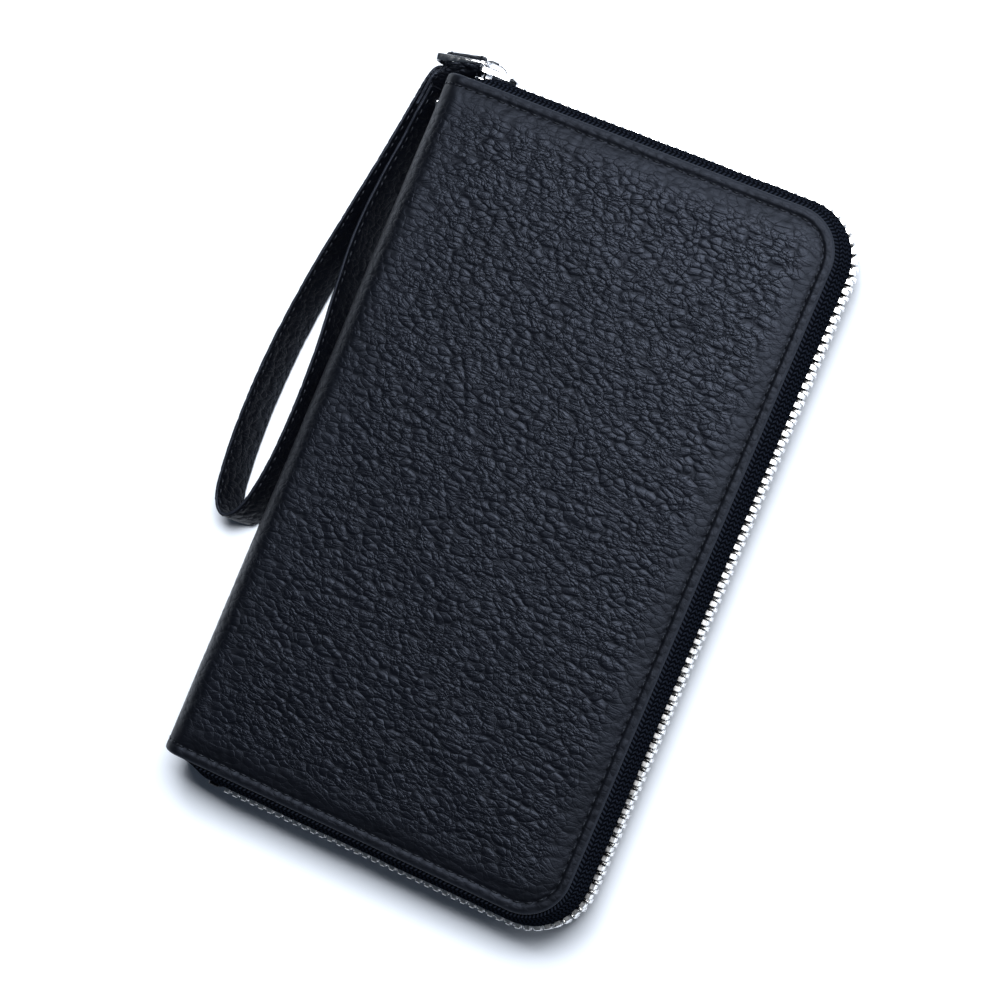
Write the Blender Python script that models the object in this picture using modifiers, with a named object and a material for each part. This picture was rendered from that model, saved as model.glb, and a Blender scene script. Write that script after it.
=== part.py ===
"""Long zip-around wallet with a wrist strap, closed and lying on its back cover.

Frame, in metres: X runs across the wallet from the spine (-X) to the zip's mouth (+X), Y runs
along it with the parked slider at +Y, and Z is up from the back cover's outer face at z = 0.
The covers, linings, card pockets, tapes and tooth rows are mirrored about the middle height.
"""

import math

import bmesh
import bpy
from mathutils import Matrix, Vector

MM = 0.001
COLLECTION = "long_wallet"

# Covers
LENGTH = 200 * MM
RIGHT = 58.2 * MM  # cover edge at the mouth
SEAM = -55 * MM  # where a cover meets the spine leather
THICKNESS = 25 * MM
MIDDLE = THICKNESS / 2
CORNER = 13 * MM
GAP = 0.3 * MM
LEATHER = 1.2 * MM
BOARD = 0.6 * MM
LINING = 0.5 * MM
BOARD_INSET = 8 * MM
LINING_INSET = 1 * MM

# Spine
SPINE_BULGE = 7.5 * MM  # how far the fold stands out from the seam line
SPINE_STEPS = 12
SPINE_HALF_LENGTH = 98 * MM

# Card pockets, four stepped leaves on each cover
POCKET_COUNT = 4
POCKET_LEAF = 0.4 * MM
POCKET_LEFT = -50 * MM
POCKET_HALF_LENGTH = 95 * MM
POCKET_FIRST_EDGE = 46 * MM
POCKET_STEP = 12 * MM

# Zip round three sides
ZIP_START = -54.7 * MM
TAPE = 0.6 * MM
TAPE_SEWN = 6.5 * MM  # how far the tape runs in under the cover
TEETH_IN = 2.3 * MM  # tooth row's inner and outer faces, out from the cover edge
TEETH_OUT = 4.4 * MM
TOOTH_PITCH = 2.7 * MM
TOOTH_START = -44.3 * MM
ROW_BACK = 9.5 * MM  # height of the back row's root
TOOTH_ROOT = 11.5 * MM
TOOTH_TIP = 13.2 * MM
CORNER_STEPS = 8

# Slider, parked at the spine end of the +Y side
SLIDER_X = -50.3 * MM
PLATE = 0.6 * MM
SLIDER_OUT = LENGTH / 2 + TEETH_OUT + GAP  # inner side of the outer plate
SLIDER_IN = LENGTH / 2 + TEETH_IN - GAP  # outer side of the inner plate

# Ring on the slider's bridge
RING_ANGLE = math.radians(12)
RING_PIVOT = Vector((-53.8 * MM, SLIDER_OUT + PLATE + 1.05 * MM, 12.8 * MM))
RING_LENGTH = 14.5 * MM  # between the centres of its short sides
RING_HEIGHT = 6.7 * MM  # between the centres of its long bars
STRAP_AT_BAR = 8 * MM  # the strap's middle, out along the ring from the bridge

# Wrist strap
STRAP_WIDTH = 11.5 * MM
STRAP_T = 1.3 * MM
STRAP_LEAN = math.radians(65)
STRAP_LAYER = STRAP_T + GAP
STRAP_Z = 5.55 * MM
RIVET_R = 1.7 * MM

# Coin pocket in the middle
COIN_LEFT = -48 * MM
COIN_RIGHT = 38 * MM
COIN_HALF_LENGTH = 88 * MM
COIN_WALL = 0.5 * MM
COIN_HALF = 2.6 * MM
COIN_PITCH = 2.6 * MM
COIN_SLIDER_Y = 80 * MM
COIN_TEETH_X = 39.6 * MM
COIN_TEETH_T = 1.5 * MM

BLACK = (0.012, 0.013, 0.017)
NAVY_BLACK = (0.010, 0.011, 0.015)
LINING_GREY = (0.03, 0.03, 0.034)
BOARD_GREY = (0.25, 0.22, 0.18)
SILVER = (0.78, 0.78, 0.8)


def clear_scene():
    for obj in list(bpy.data.objects):
        bpy.data.objects.remove(obj, do_unlink=True)


def collection(name):
    made = bpy.data.collections.new(name)
    bpy.context.scene.collection.children.link(made)
    return made


def material(name, colour, roughness, metallic):
    made = bpy.data.materials.new(name)
    made.use_nodes = True
    shader = made.node_tree.nodes["Principled BSDF"]
    shader.inputs["Base Color"].default_value = (*colour, 1)
    shader.inputs["Roughness"].default_value = roughness
    shader.inputs["Metallic"].default_value = metallic
    made.diffuse_color = (*colour, 1)
    return made


def add(name, bm, colour, roughness=0.5, metallic=0.0, smooth=None):
    """Links a bmesh as one named object with its own material."""
    bmesh.ops.recalc_face_normals(bm, faces=bm.faces)
    mesh = bpy.data.meshes.new(name)
    bm.to_mesh(mesh)
    bm.free()
    obj = bpy.data.objects.new(name, mesh)
    mesh.materials.append(material(name, colour, roughness, metallic))
    PARTS.objects.link(obj)
    if smooth:
        mesh.shade_smooth()
        mesh.set_sharp_from_angle(angle=math.radians(smooth))
    return obj


def to_cutters(obj):
    PARTS.objects.unlink(obj)
    CUTTERS.objects.link(obj)
    obj.hide_render = True
    obj.display_type = "WIRE"
    return obj


def boolean(obj, other, operation):
    modifier = obj.modifiers.new(operation.lower(), "BOOLEAN")
    modifier.operation = operation
    modifier.solver = "EXACT"
    modifier.object = to_cutters(other)


def bevel(obj, width, segments=2):
    modifier = obj.modifiers.new("edges", "BEVEL")
    modifier.width = width
    modifier.segments = segments
    modifier.limit_method = "ANGLE"
    modifier.angle_limit = math.radians(50)


def merge_flats(obj):
    modifier = obj.modifiers.new("merge_flats", "DECIMATE")
    modifier.decimate_type = "DISSOLVE"
    modifier.angle_limit = math.radians(0.2)


# Shapes ---------------------------------------------------------------------------------------


def arc(cx, cy, radius, start, end, steps):
    """Points on an arc, angles in degrees."""
    angles = [math.radians(start + (end - start) * i / steps) for i in range(steps + 1)]
    return [(cx + radius * math.cos(a), cy + radius * math.sin(a)) for a in angles]


def panel_outline(left, right, half, corner, left_corner=0.0):
    """A rectangle with rounded corners at the mouth, anticlockwise."""
    points = arc(right - corner, corner - half, corner, -90, 0, CORNER_STEPS)
    points += arc(right - corner, half - corner, corner, 0, 90, CORNER_STEPS)
    if left_corner:
        points += arc(left + left_corner, half - left_corner, left_corner, 90, 180, 3)
        points += arc(left + left_corner, left_corner - half, left_corner, 180, 270, 3)
    else:
        points += [(left, half), (left, -half)]
    return points


def plate(name, outline, low, high, colour, roughness=0.5, metallic=0.0, place=None):
    """An outline in the plate's own XY plane, extruded from low to high, then placed."""
    bm = bmesh.new()
    face = bm.faces.new([bm.verts.new((x, y, low)) for x, y in outline])
    top = bmesh.ops.extrude_face_region(bm, geom=[face])["geom"]
    moved = [v for v in top if isinstance(v, bmesh.types.BMVert)]
    bmesh.ops.translate(bm, verts=moved, vec=(0, 0, high - low))
    if place:
        bmesh.ops.transform(bm, matrix=place, verts=bm.verts)
    return add(name, bm, colour, roughness, metallic)


def box(name, low, high, colour, roughness=0.5, metallic=0.0):
    bm = bmesh.new()
    size = Vector(high) - Vector(low)
    middle = (Vector(high) + Vector(low)) / 2
    place = Matrix.Translation(middle) @ Matrix.Diagonal((*size, 1))
    bmesh.ops.create_cube(bm, size=1, matrix=place)
    return add(name, bm, colour, roughness, metallic)


def cylinder(name, radius, depth, place, colour, roughness=0.3, metallic=1.0, segments=20):
    bm = bmesh.new()
    bmesh.ops.create_cone(
        bm, cap_ends=True, segments=segments, radius1=radius, radius2=radius, depth=depth, matrix=place
    )
    return add(name, bm, colour, roughness, metallic, smooth=40)


def loft(name, sections, colour, roughness=0.5, metallic=0.0, ring=False, smooth=None):
    """Skins equal sections in order. A ring joins its last section to its first."""
    bm = bmesh.new()
    rows = [[bm.verts.new(p) for p in section] for section in sections]
    pairs = list(zip(rows, rows[1:] + rows[:1])) if ring else list(zip(rows, rows[1:]))
    for one, two in pairs:
        for i in range(len(one)):
            j = (i + 1) % len(one)
            bm.faces.new((one[i], one[j], two[j], two[i]))
    if not ring:
        bm.faces.new(list(reversed(rows[0])))
        bm.faces.new(rows[-1])
    return add(name, bm, colour, roughness, metallic, smooth)


def flipped(z, front):
    """Mirrors a height about the middle for the front half."""
    return THICKNESS - z if front else z


def span(low, high, front):
    return sorted((flipped(low, front), flipped(high, front)))


# Covers, linings and pockets ------------------------------------------------------------------


def build_cover(side, front):
    leather = panel_outline(SEAM, RIGHT, LENGTH / 2, CORNER)
    low, high = span(0, LEATHER, front)
    cover = plate(f"{side}_cover_leather", leather, low, high, BLACK, 0.42)
    bevel(cover, 0.3 * MM)
    bottom = LEATHER + GAP
    board = panel_outline(
        SEAM + GAP, RIGHT - BOARD_INSET, LENGTH / 2 - BOARD_INSET, CORNER - BOARD_INSET
    )
    low, high = span(bottom, bottom + BOARD, front)
    plate(f"{side}_cover_board", board, low, high, BOARD_GREY, 0.9)
    bottom += BOARD + GAP
    lining = panel_outline(
        SEAM + GAP, RIGHT - LINING_INSET, LENGTH / 2 - LINING_INSET, CORNER - LINING_INSET
    )
    low, high = span(bottom, bottom + LINING, front)
    plate(f"{side}_lining", lining, low, high, LINING_GREY, 0.6)
    return bottom + LINING


def build_pockets(side, front, bottom):
    """Four leaves, the one next to the lining reaching furthest towards the mouth."""
    for i in range(POCKET_COUNT):
        bottom += GAP
        low, high = span(bottom, bottom + POCKET_LEAF, front)
        right = POCKET_FIRST_EDGE - i * POCKET_STEP
        outline = panel_outline(POCKET_LEFT, right, POCKET_HALF_LENGTH, 2 * MM)
        plate(f"{side}_card_pocket_{i + 1}", outline, low, high, BLACK, 0.5)
        bottom += POCKET_LEAF


def build_spine():
    """The folded leather, a half-ellipse sheet from one cover round to the other."""
    left = SEAM - GAP
    sections = []
    for half in (-SPINE_HALF_LENGTH, SPINE_HALF_LENGTH):
        section = []
        for inset, order in ((0, 1), (LEATHER, -1)):
            angles = [math.pi * i / SPINE_STEPS for i in range(SPINE_STEPS + 1)][::order]
            for a in angles:
                x = left - (SPINE_BULGE - inset) * math.sin(a)
                z = MIDDLE + (MIDDLE - inset - 0.2 * MM) * math.cos(a)
                section.append((x, half, z))
        sections.append(section)
    loft("spine_leather", sections, BLACK, 0.42, smooth=40)


# Zip ------------------------------------------------------------------------------------------


def rim(distance, start, offset):
    """The cover edge's point and outward direction, a distance along the zip's line, which runs
    offset outside the edge from x = start on the +Y side round to the same place on the -Y side."""
    straight = RIGHT - CORNER - start
    bend = (CORNER + offset) * math.pi / 2
    side = LENGTH - 2 * CORNER
    cx, cy = RIGHT - CORNER, LENGTH / 2 - CORNER
    if distance <= straight:
        return Vector((start + distance, LENGTH / 2, 0)), Vector((0, 1, 0))
    distance -= straight
    if distance <= bend:
        a = math.pi / 2 - distance / (CORNER + offset)
        out = Vector((math.cos(a), math.sin(a), 0))
        return Vector((cx, cy, 0)) + CORNER * out, out
    distance -= bend
    if distance <= side:
        return Vector((RIGHT, cy - distance, 0)), Vector((1, 0, 0))
    distance -= side
    if distance <= bend:
        a = -distance / (CORNER + offset)
        out = Vector((math.cos(a), math.sin(a), 0))
        return Vector((cx, -cy, 0)) + CORNER * out, out
    distance -= bend
    return Vector((cx - distance, -LENGTH / 2, 0)), Vector((0, -1, 0))


def rim_length(start, offset):
    straight = RIGHT - CORNER - start
    return 2 * straight + (CORNER + offset) * math.pi + LENGTH - 2 * CORNER


def rim_stations(start, offset):
    """Distances at the ends of the straights and through both corners."""
    straight = RIGHT - CORNER - start
    bend = (CORNER + offset) * math.pi / 2
    side = LENGTH - 2 * CORNER
    first = [straight + bend * i / CORNER_STEPS for i in range(CORNER_STEPS + 1)]
    second = [d + bend + side for d in first]
    return [0] + first + second + [rim_length(start, offset)]


def build_tape(side, front):
    """Woven tape: sewn in under the cover's edge, then bulging out and up to its tooth row."""
    sewn = LEATHER + GAP + TAPE / 2
    line_out = (TEETH_IN + TEETH_OUT) / 2
    line = [
        (-TAPE_SEWN, sewn),
        (0.3 * MM, sewn),
        (2.2 * MM, sewn + 1.6 * MM),
        (line_out - 0.2 * MM, sewn + 4.2 * MM),
        (line_out, ROW_BACK - GAP),
    ]
    outer, inner = [], []
    for i, (n, z) in enumerate(line):
        before = Vector(line[max(i - 1, 0)])
        after = Vector(line[min(i + 1, len(line) - 1)])
        along = (after - before).normalized()
        away = Vector((along.y, -along.x)) * TAPE / 2
        outer.append((n + away.x, z + away.y))
        inner.append((n - away.x, z - away.y))
    profile = outer + inner[::-1]
    sections = []
    for distance in rim_stations(ZIP_START, line_out):
        point, out = rim(distance, ZIP_START, line_out)
        sections.append([point + out * n + Vector((0, 0, flipped(z, front))) for n, z in profile])
    tape = loft(f"{side}_zip_tape", sections, NAVY_BLACK, 0.8)
    merge_flats(tape)


def build_teeth(side, front):
    """One row of teeth on its beaded cord. The rows' edges zigzag past each other a gap apart."""
    line_out = (TEETH_IN + TEETH_OUT) / 2
    length = rim_length(TOOTH_START, line_out)
    steps = 2 * round(length / TOOTH_PITCH)
    clearance = GAP / 2 / math.cos(math.atan2(TOOTH_TIP - TOOTH_ROOT, TOOTH_PITCH / 2))
    root = ROW_BACK + 0.2 * MM
    sections = []
    for i in range(steps + 1):
        point, out = rim(length * i / steps, TOOTH_START, line_out)
        edge = TOOTH_TIP if i % 2 else TOOTH_ROOT
        edge += clearance if front else -clearance
        back = THICKNESS - root if front else root
        heights = (back, edge)
        inner = [point + out * TEETH_IN + Vector((0, 0, z)) for z in heights]
        outer = [point + out * TEETH_OUT + Vector((0, 0, z)) for z in heights]
        sections.append([inner[0], outer[0], outer[1], inner[1]])
    row = loft(f"{side}_zip_teeth", sections, SILVER, 0.25, 1.0)
    merge_flats(row)


def build_end_stop():
    """The metal box that joins both rows at the closed end of the chain, on the -Y side."""
    y = -LENGTH / 2
    x = TOOTH_START - GAP
    low = (x - 3 * MM, y - TEETH_OUT, ROW_BACK + 0.3 * MM)
    high = (x, y - TEETH_IN, THICKNESS - ROW_BACK - 0.3 * MM)
    stop = box("zip_end_stop", low, high, SILVER, 0.3, 1.0)
    bevel(stop, 0.3 * MM, 1)


# Slider, ring and strap -----------------------------------------------------------------------


def slider_outline():
    """Half outlines of a slider plate, nose at -X, mirrored about the chain's middle."""
    half = [(5.4, 3.1), (4.6, 3.9), (0, 4.3), (-3.8, 4.9), (-5, 4.2), (-5.4, 2.8)]
    upper = [(x * MM, z * MM) for x, z in half]
    return upper + [(x, -z) for x, z in reversed(upper)]


def upright(x, z):
    """Places a plate's XY plane in the upright XZ plane, its +Z side facing +Y."""
    turn = Matrix(((-1, 0, 0, 0), (0, 0, 1, 0), (0, 1, 0, 0), (0, 0, 0, 1)))
    return Matrix.Translation((x, 0, z)) @ turn


def build_slider():
    place = upright(SLIDER_X, MIDDLE)
    mirrored = [(-x, z) for x, z in slider_outline()]
    outer = plate("slider_body", mirrored, SLIDER_OUT, SLIDER_OUT + PLATE, SILVER, 0.12, 1.0, place)
    inner = plate("slider_inner", mirrored, SLIDER_IN - PLATE, SLIDER_IN, SILVER, 0.12, 1.0, place)
    wedge = [(1.8, 0), (3.2, -1.1), (4.8, 0), (3.2, 1.1)]
    outline = [(x * MM, z * MM) for x, z in wedge]
    inset = PLATE / 2
    post = plate(
        "slider_post", outline, SLIDER_IN - inset, SLIDER_OUT + inset, SILVER, 0.12, 1.0, place
    )
    boolean(outer, post, "UNION")
    boolean(outer, inner, "UNION")


def build_bridge():
    """The arch on the outer plate that the ring hangs from, with feet fore and aft."""
    foot = SLIDER_OUT + PLATE + GAP / 2
    crown = foot + 2.5 * MM
    thick = 0.8 * MM
    left, right = -55.7 * MM, -47.1 * MM
    outline = [(left, foot), (left, foot + 0.5 * MM), (left + 1.2 * MM, crown - 0.5 * MM)]
    outline += [(left + 2.4 * MM, crown), (right - 3 * MM, crown), (right - 1 * MM, crown - 0.8 * MM)]
    outline += [(right, foot + 0.5 * MM), (right, foot), (right - 1.6 * MM, foot)]
    outline += [(right - 1.9 * MM, foot + 0.6 * MM), (right - 3.2 * MM, crown - thick)]
    outline += [(left + 1.5 * MM, crown - thick), (left + 1 * MM, crown - thick - 0.5 * MM)]
    outline += [(left + 1 * MM, foot)]
    half = 1.5 * MM
    bridge = plate("slider_bridge", outline, MIDDLE - half, MIDDLE + half, SILVER, 0.12, 1.0)
    bevel(bridge, 0.15 * MM, 1)


def build_lock_spring():
    """The flat spring between the bridge's feet that holds the slider's locking pin down."""
    foot = SLIDER_OUT + PLATE + GAP / 2
    low = (-52.4 * MM, foot + 0.05 * MM, MIDDLE - 0.9 * MM)
    high = (-50.4 * MM, foot + 0.45 * MM, MIDDLE + 0.9 * MM)
    box("slider_lock_spring", low, high, SILVER, 0.3, 1.0)


def ring_frame():
    """The ring's place: its X runs out along the long bars, its Y up, from the bridge's side."""
    out = Vector((-math.cos(RING_ANGLE), -math.sin(RING_ANGLE), 0))
    up = Vector((0, 0, 1))
    away = out.cross(up)
    turn = Matrix((out, up, away)).transposed().to_4x4()
    return Matrix.Translation(RING_PIVOT) @ turn


def build_ring():
    """A rectangular ring: a broad upper bar, a round lower bar that carries the strap."""
    frame = ring_frame()
    radius = 1.1 * MM
    half = RING_HEIGHT / 2
    corners = [
        (RING_LENGTH - radius, half - radius, 0, 90, 1.0, 1.0),
        (radius, half - radius, 90, 180, 0.5, 0.5),
        (radius, radius - half, 180, 270, 0.5, 0.6),
        (RING_LENGTH - radius, radius - half, 270, 360, 0.6, 1.0),
    ]
    sections = []
    for cx, cy, start, end, first, last in corners:
        for i in range(5):
            a = math.radians(start + (end - start) * i / 4)
            broad = (first + (last - first) * i / 4) * MM
            middle = Vector((cx + radius * math.cos(a), cy + radius * math.sin(a), 0))
            outward = Vector((math.cos(a), math.sin(a), 0))
            section = []
            for k in range(8):
                b = 2 * math.pi * (k + 0.5) / 8
                across = Vector((0, 0, broad * math.cos(b) / math.cos(math.pi / 8)))
                section.append(frame @ (middle + across + outward * 0.55 * MM * math.sin(b)))
            sections.append(section)
    loft("strap_ring", sections, SILVER, 0.1, 1.0, ring=True, smooth=50)


def smooth_route(points, count):
    """Evenly parametrised points on a Catmull-Rom curve through the route's points."""
    points = [Vector(p) for p in points]
    points = [2 * points[0] - points[1]] + points + [2 * points[-1] - points[-2]]
    spans = len(points) - 3
    found = []
    for i in range(count + 1):
        at = min(spans * i / count, spans - 1e-9)
        k, t = int(at), at - int(at)
        p0, p1, p2, p3 = points[k : k + 4]
        found.append(
            0.5
            * (
                2 * p1
                + (p2 - p0) * t
                + (2 * p0 - 5 * p1 + 4 * p2 - p3) * t**2
                + (3 * p1 - p0 - 3 * p2 + p3) * t**3
            )
        )
    return found


def strap_core():
    """The twist below the ring: places down the strap's middle, and its width's turn there.

    Each is (x, y, z) in millimetres, and degrees from flat in the ring towards standing on edge.
    """
    bar = ring_frame() @ Vector((STRAP_AT_BAR, -RING_HEIGHT / 2, 0))
    lean = math.degrees(STRAP_LEAN)
    return [
        (tuple(bar / MM), 0),
        ((-61.9, 102.6, 9.3), 12),
        ((-63.3, 100.7, 8.7), 34),
        ((-65.1, 98.4, 7.8), 52),
        ((-66.4, 95.6, 6.9), lean - 3),
        ((-67.2, 92.2, 6.3), lean),
        ((-67.8, 88.2, 6.25), lean),
    ]


def width_direction(turn):
    """Across the strap, from its lower edge to its upper one."""
    share = min(turn / STRAP_LEAN, 1)
    yaw = RING_ANGLE * (1 - share)
    flat = Vector((-math.cos(yaw), -math.sin(yaw), 0))
    return flat * math.cos(turn) + Vector((0, 0, 1)) * math.sin(turn)


def twist_stations(count):
    """(place, width direction, face normal) from the ring's bar down to the tail's end."""
    core = strap_core()
    places = smooth_route([Vector(p) * MM for p, _ in core], count)
    turns = [v.x for v in smooth_route([Vector((math.radians(t), 0, 0)) for _, t in core], count)]
    found = []
    for i, place in enumerate(places):
        along = (places[min(i + 1, count)] - places[max(i - 1, 0)]).normalized()
        across = width_direction(turns[i])
        found.append((place, across, across.cross(along).normalized()))
    return found


def strap_rails():
    """(middle, width direction, face normal) all along the strap, from the end that lies at the
    rivet, down the wallet's side, round the loop, up the outer side, through the ring and back
    down as the folded tail. The normal points out of the loop's inner face."""
    twist = twist_stations(15)
    lean = width_direction(STRAP_LEAN)
    bar_clear = 0.9 * MM + STRAP_T / 2
    rails = []
    near = [9, 11, 13, 15]
    for i in near:
        place, across, normal = twist[i]
        rails.append((place + normal * STRAP_LAYER, across, normal))
    loop = [
        (-67.6, 80, 0), (-69.2, 66, 0), (-69.9, 50, 0), (-68.6, 33, 0), (-66.9, 15, 0),
        (-66.4, -4, 0), (-67.2, -20, 0), (-69.6, -31.5, 0), (-73.6, -35.6, 0), (-77.4, -31.5, 0),
        (-79.3, -20, 0), (-80.1, -3, 0), (-79.5, 16, 0), (-77.4, 36, 0), (-74.4, 55, 0),
        (-71.6, 72, 0),
    ]
    start = rails[-1][0]
    end_place, _, end_normal = twist[15]
    end = end_place - end_normal * STRAP_LAYER
    route = [tuple(start / MM)] + [(x, y, STRAP_Z / MM) for x, y, _ in loop] + [tuple(end / MM)]
    curve = smooth_route([Vector(p) * MM for p in route], 60)
    for i in range(1, len(curve) - 1):
        along = (curve[i + 1] - curve[i - 1]).normalized()
        rails.append((curve[i], lean, lean.cross(along).normalized()))
    for place, across, normal in reversed(twist[1:]):
        rails.append((place - normal * STRAP_LAYER, across, -normal))
    place, across, normal = twist[0]
    back = normal.cross(across)
    for i in range(7):
        a = math.pi * i / 6
        offset = normal * -math.cos(a) + back * -math.sin(a)
        rails.append((place + offset * bar_clear, across, offset))
    for i in range(1, 15):
        place, across, normal = twist[i]
        share = min(max((i - 1) / 5, 0), 1)
        lift = bar_clear * (1 - share * share * (3 - 2 * share))
        rails.append((place + normal * lift, across, normal))
    return rails


def build_strap():
    rails = strap_rails()
    sections = []
    for middle, across, normal in rails:
        side = across * STRAP_WIDTH / 2
        thick = normal * STRAP_T / 2
        sections.append(
            [middle - side - thick, middle + side - thick, middle + side + thick, middle - side + thick]
        )
    strap = loft("wrist_strap", sections, BLACK, 0.45)
    merge_flats(strap)
    hole = rivet_cylinder("rivet_hole", 1.2 * MM, 8 * MM, 0)
    boolean(strap, hole, "DIFFERENCE")


def rivet_cylinder(name, radius, depth, offset, segments=16):
    """A cylinder on the rivet's axis, through the strap's three layers."""
    place, _, normal = twist_stations(15)[12]
    turn = normal.to_track_quat("Z", "Y").to_matrix().to_4x4()
    at = Matrix.Translation(place + normal * offset) @ turn
    return cylinder(name, radius, depth, at, SILVER, 0.15, 1.0, segments)


def build_rivet():
    """A post through the layers, its back flange on the outside and a separate cap inside."""
    face = STRAP_LAYER + STRAP_T / 2 + 0.25 * MM
    flange = 0.6 * MM
    post = rivet_cylinder("strap_rivet_post", 0.8 * MM, 2 * face + flange, -flange / 2)
    foot = rivet_cylinder("rivet_foot", RIVET_R, flange, -face - flange / 2, 20)
    boolean(post, foot, "UNION")
    cap = rivet_cylinder("strap_rivet_cap", RIVET_R, 0.8 * MM, face + 0.7 * MM, 20)
    bevel(cap, 0.2 * MM, 2)


# Coin pocket ----------------------------------------------------------------------------------


def build_coin_pocket():
    low = (COIN_LEFT, -COIN_HALF_LENGTH, MIDDLE - COIN_HALF)
    high = (COIN_RIGHT, COIN_HALF_LENGTH, MIDDLE + COIN_HALF)
    bag = box("coin_pocket", low, high, BLACK, 0.6)
    inset = Vector((COIN_WALL, COIN_WALL, COIN_WALL))
    low = Vector(low) + inset
    high = Vector(high) + Vector((COIN_WALL, -COIN_WALL, -COIN_WALL))
    boolean(bag, box("coin_space", low, high, BLACK), "DIFFERENCE")


def build_coin_zip():
    """Two tapes sewn to the pocket's lips, and two tooth rows facing the mouth between them."""
    half = COIN_HALF_LENGTH - 1 * MM
    for side, sign in (("back", -1), ("front", 1)):
        edges = sorted((MIDDLE + sign * COIN_HALF, MIDDLE + sign * (COIN_HALF - 0.6 * MM)))
        low = (COIN_RIGHT + GAP, -half, edges[0])
        high = (COIN_RIGHT + 2.6 * MM, half, edges[1])
        box(f"coin_{side}_zip_tape", low, high, NAVY_BLACK, 0.8)
    top = COIN_SLIDER_Y - 4.5 * MM
    steps = 2 * round((top + half) / COIN_PITCH)
    for side, sign in (("back", -1), ("front", 1)):
        sections = []
        for i in range(steps + 1):
            y = top - (top + half) * i / steps
            edge = MIDDLE + (0.5 * MM if i % 2 else -0.5 * MM) + sign * 0.2 * MM
            root = MIDDLE + sign * 1.65 * MM
            near, far = COIN_TEETH_X, COIN_TEETH_X + COIN_TEETH_T
            sections.append([(near, y, root), (far, y, root), (far, y, edge), (near, y, edge)])
        row = loft(f"coin_{side}_zip_teeth", sections, SILVER, 0.3, 1.0)
        merge_flats(row)


def build_coin_slider():
    """Plates in front of and behind the chain joined by a post, and a hinged pull tab."""
    out = COIN_TEETH_X + COIN_TEETH_T + GAP
    low = (out, COIN_SLIDER_Y - 4 * MM, MIDDLE - 2.4 * MM)
    high = (out + 0.7 * MM, COIN_SLIDER_Y + 4 * MM, MIDDLE + 2.4 * MM)
    body = box("coin_slider", low, high, SILVER, 0.2, 1.0)
    back = COIN_TEETH_X - GAP
    low = (back - 0.7 * MM, COIN_SLIDER_Y - 4 * MM, MIDDLE - 1.6 * MM)
    high = (back, COIN_SLIDER_Y + 4 * MM, MIDDLE + 1.6 * MM)
    inner = box("coin_slider_inner", low, high, SILVER)
    low = (back - 0.3 * MM, COIN_SLIDER_Y + 1.5 * MM, MIDDLE - 0.7 * MM)
    high = (out + 0.3 * MM, COIN_SLIDER_Y + 3.5 * MM, MIDDLE + 0.7 * MM)
    post = box("coin_slider_post", low, high, SILVER)
    ear_x = out + 0.4 * MM
    boolean(body, post, "UNION")
    boolean(body, inner, "UNION")
    for i, sign in enumerate((-1, 1)):
        edges = sorted((MIDDLE + sign * 1.7 * MM, MIDDLE + sign * 2.2 * MM))
        low = (ear_x, COIN_SLIDER_Y - 1.2 * MM, edges[0])
        high = (out + 2.2 * MM, COIN_SLIDER_Y + 1.2 * MM, edges[1])
        boolean(body, box(f"coin_slider_ear_{i}", low, high, SILVER), "UNION")
    pivot = out + 1.5 * MM
    low = (pivot - 0.4 * MM, COIN_SLIDER_Y - 14 * MM, MIDDLE - 1.4 * MM)
    high = (pivot + 0.4 * MM, COIN_SLIDER_Y + 0.4 * MM, MIDDLE + 1.4 * MM)
    pull = box("coin_pull_tab", low, high, SILVER, 0.2, 1.0)
    bevel(pull, 0.15 * MM, 1)


clear_scene()
PARTS = collection(COLLECTION)
CUTTERS = collection(COLLECTION + "_cutters")
for side, front in (("back", False), ("front", True)):
    pockets_start = build_cover(side, front)
    build_pockets(side, front, pockets_start)
    build_tape(side, front)
    build_teeth(side, front)
build_spine()
build_end_stop()
build_slider()
build_bridge()
build_lock_spring()
build_ring()
build_strap()
build_rivet()
build_coin_pocket()
build_coin_zip()
build_coin_slider()
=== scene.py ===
"""Looks of the long wallet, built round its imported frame: one continuous skin of grained leather,
woven zip tapes with single metal teeth, the slider and its ring, the wrist strap and the lined,
pocketed inside. Everything is in metres in the frame's own axes: X from the spine to the mouth,
Y along the wallet, Z up from the back cover.
"""

import math

import bmesh
import bpy
import numpy as np
from mathutils import Matrix, Vector


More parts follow.
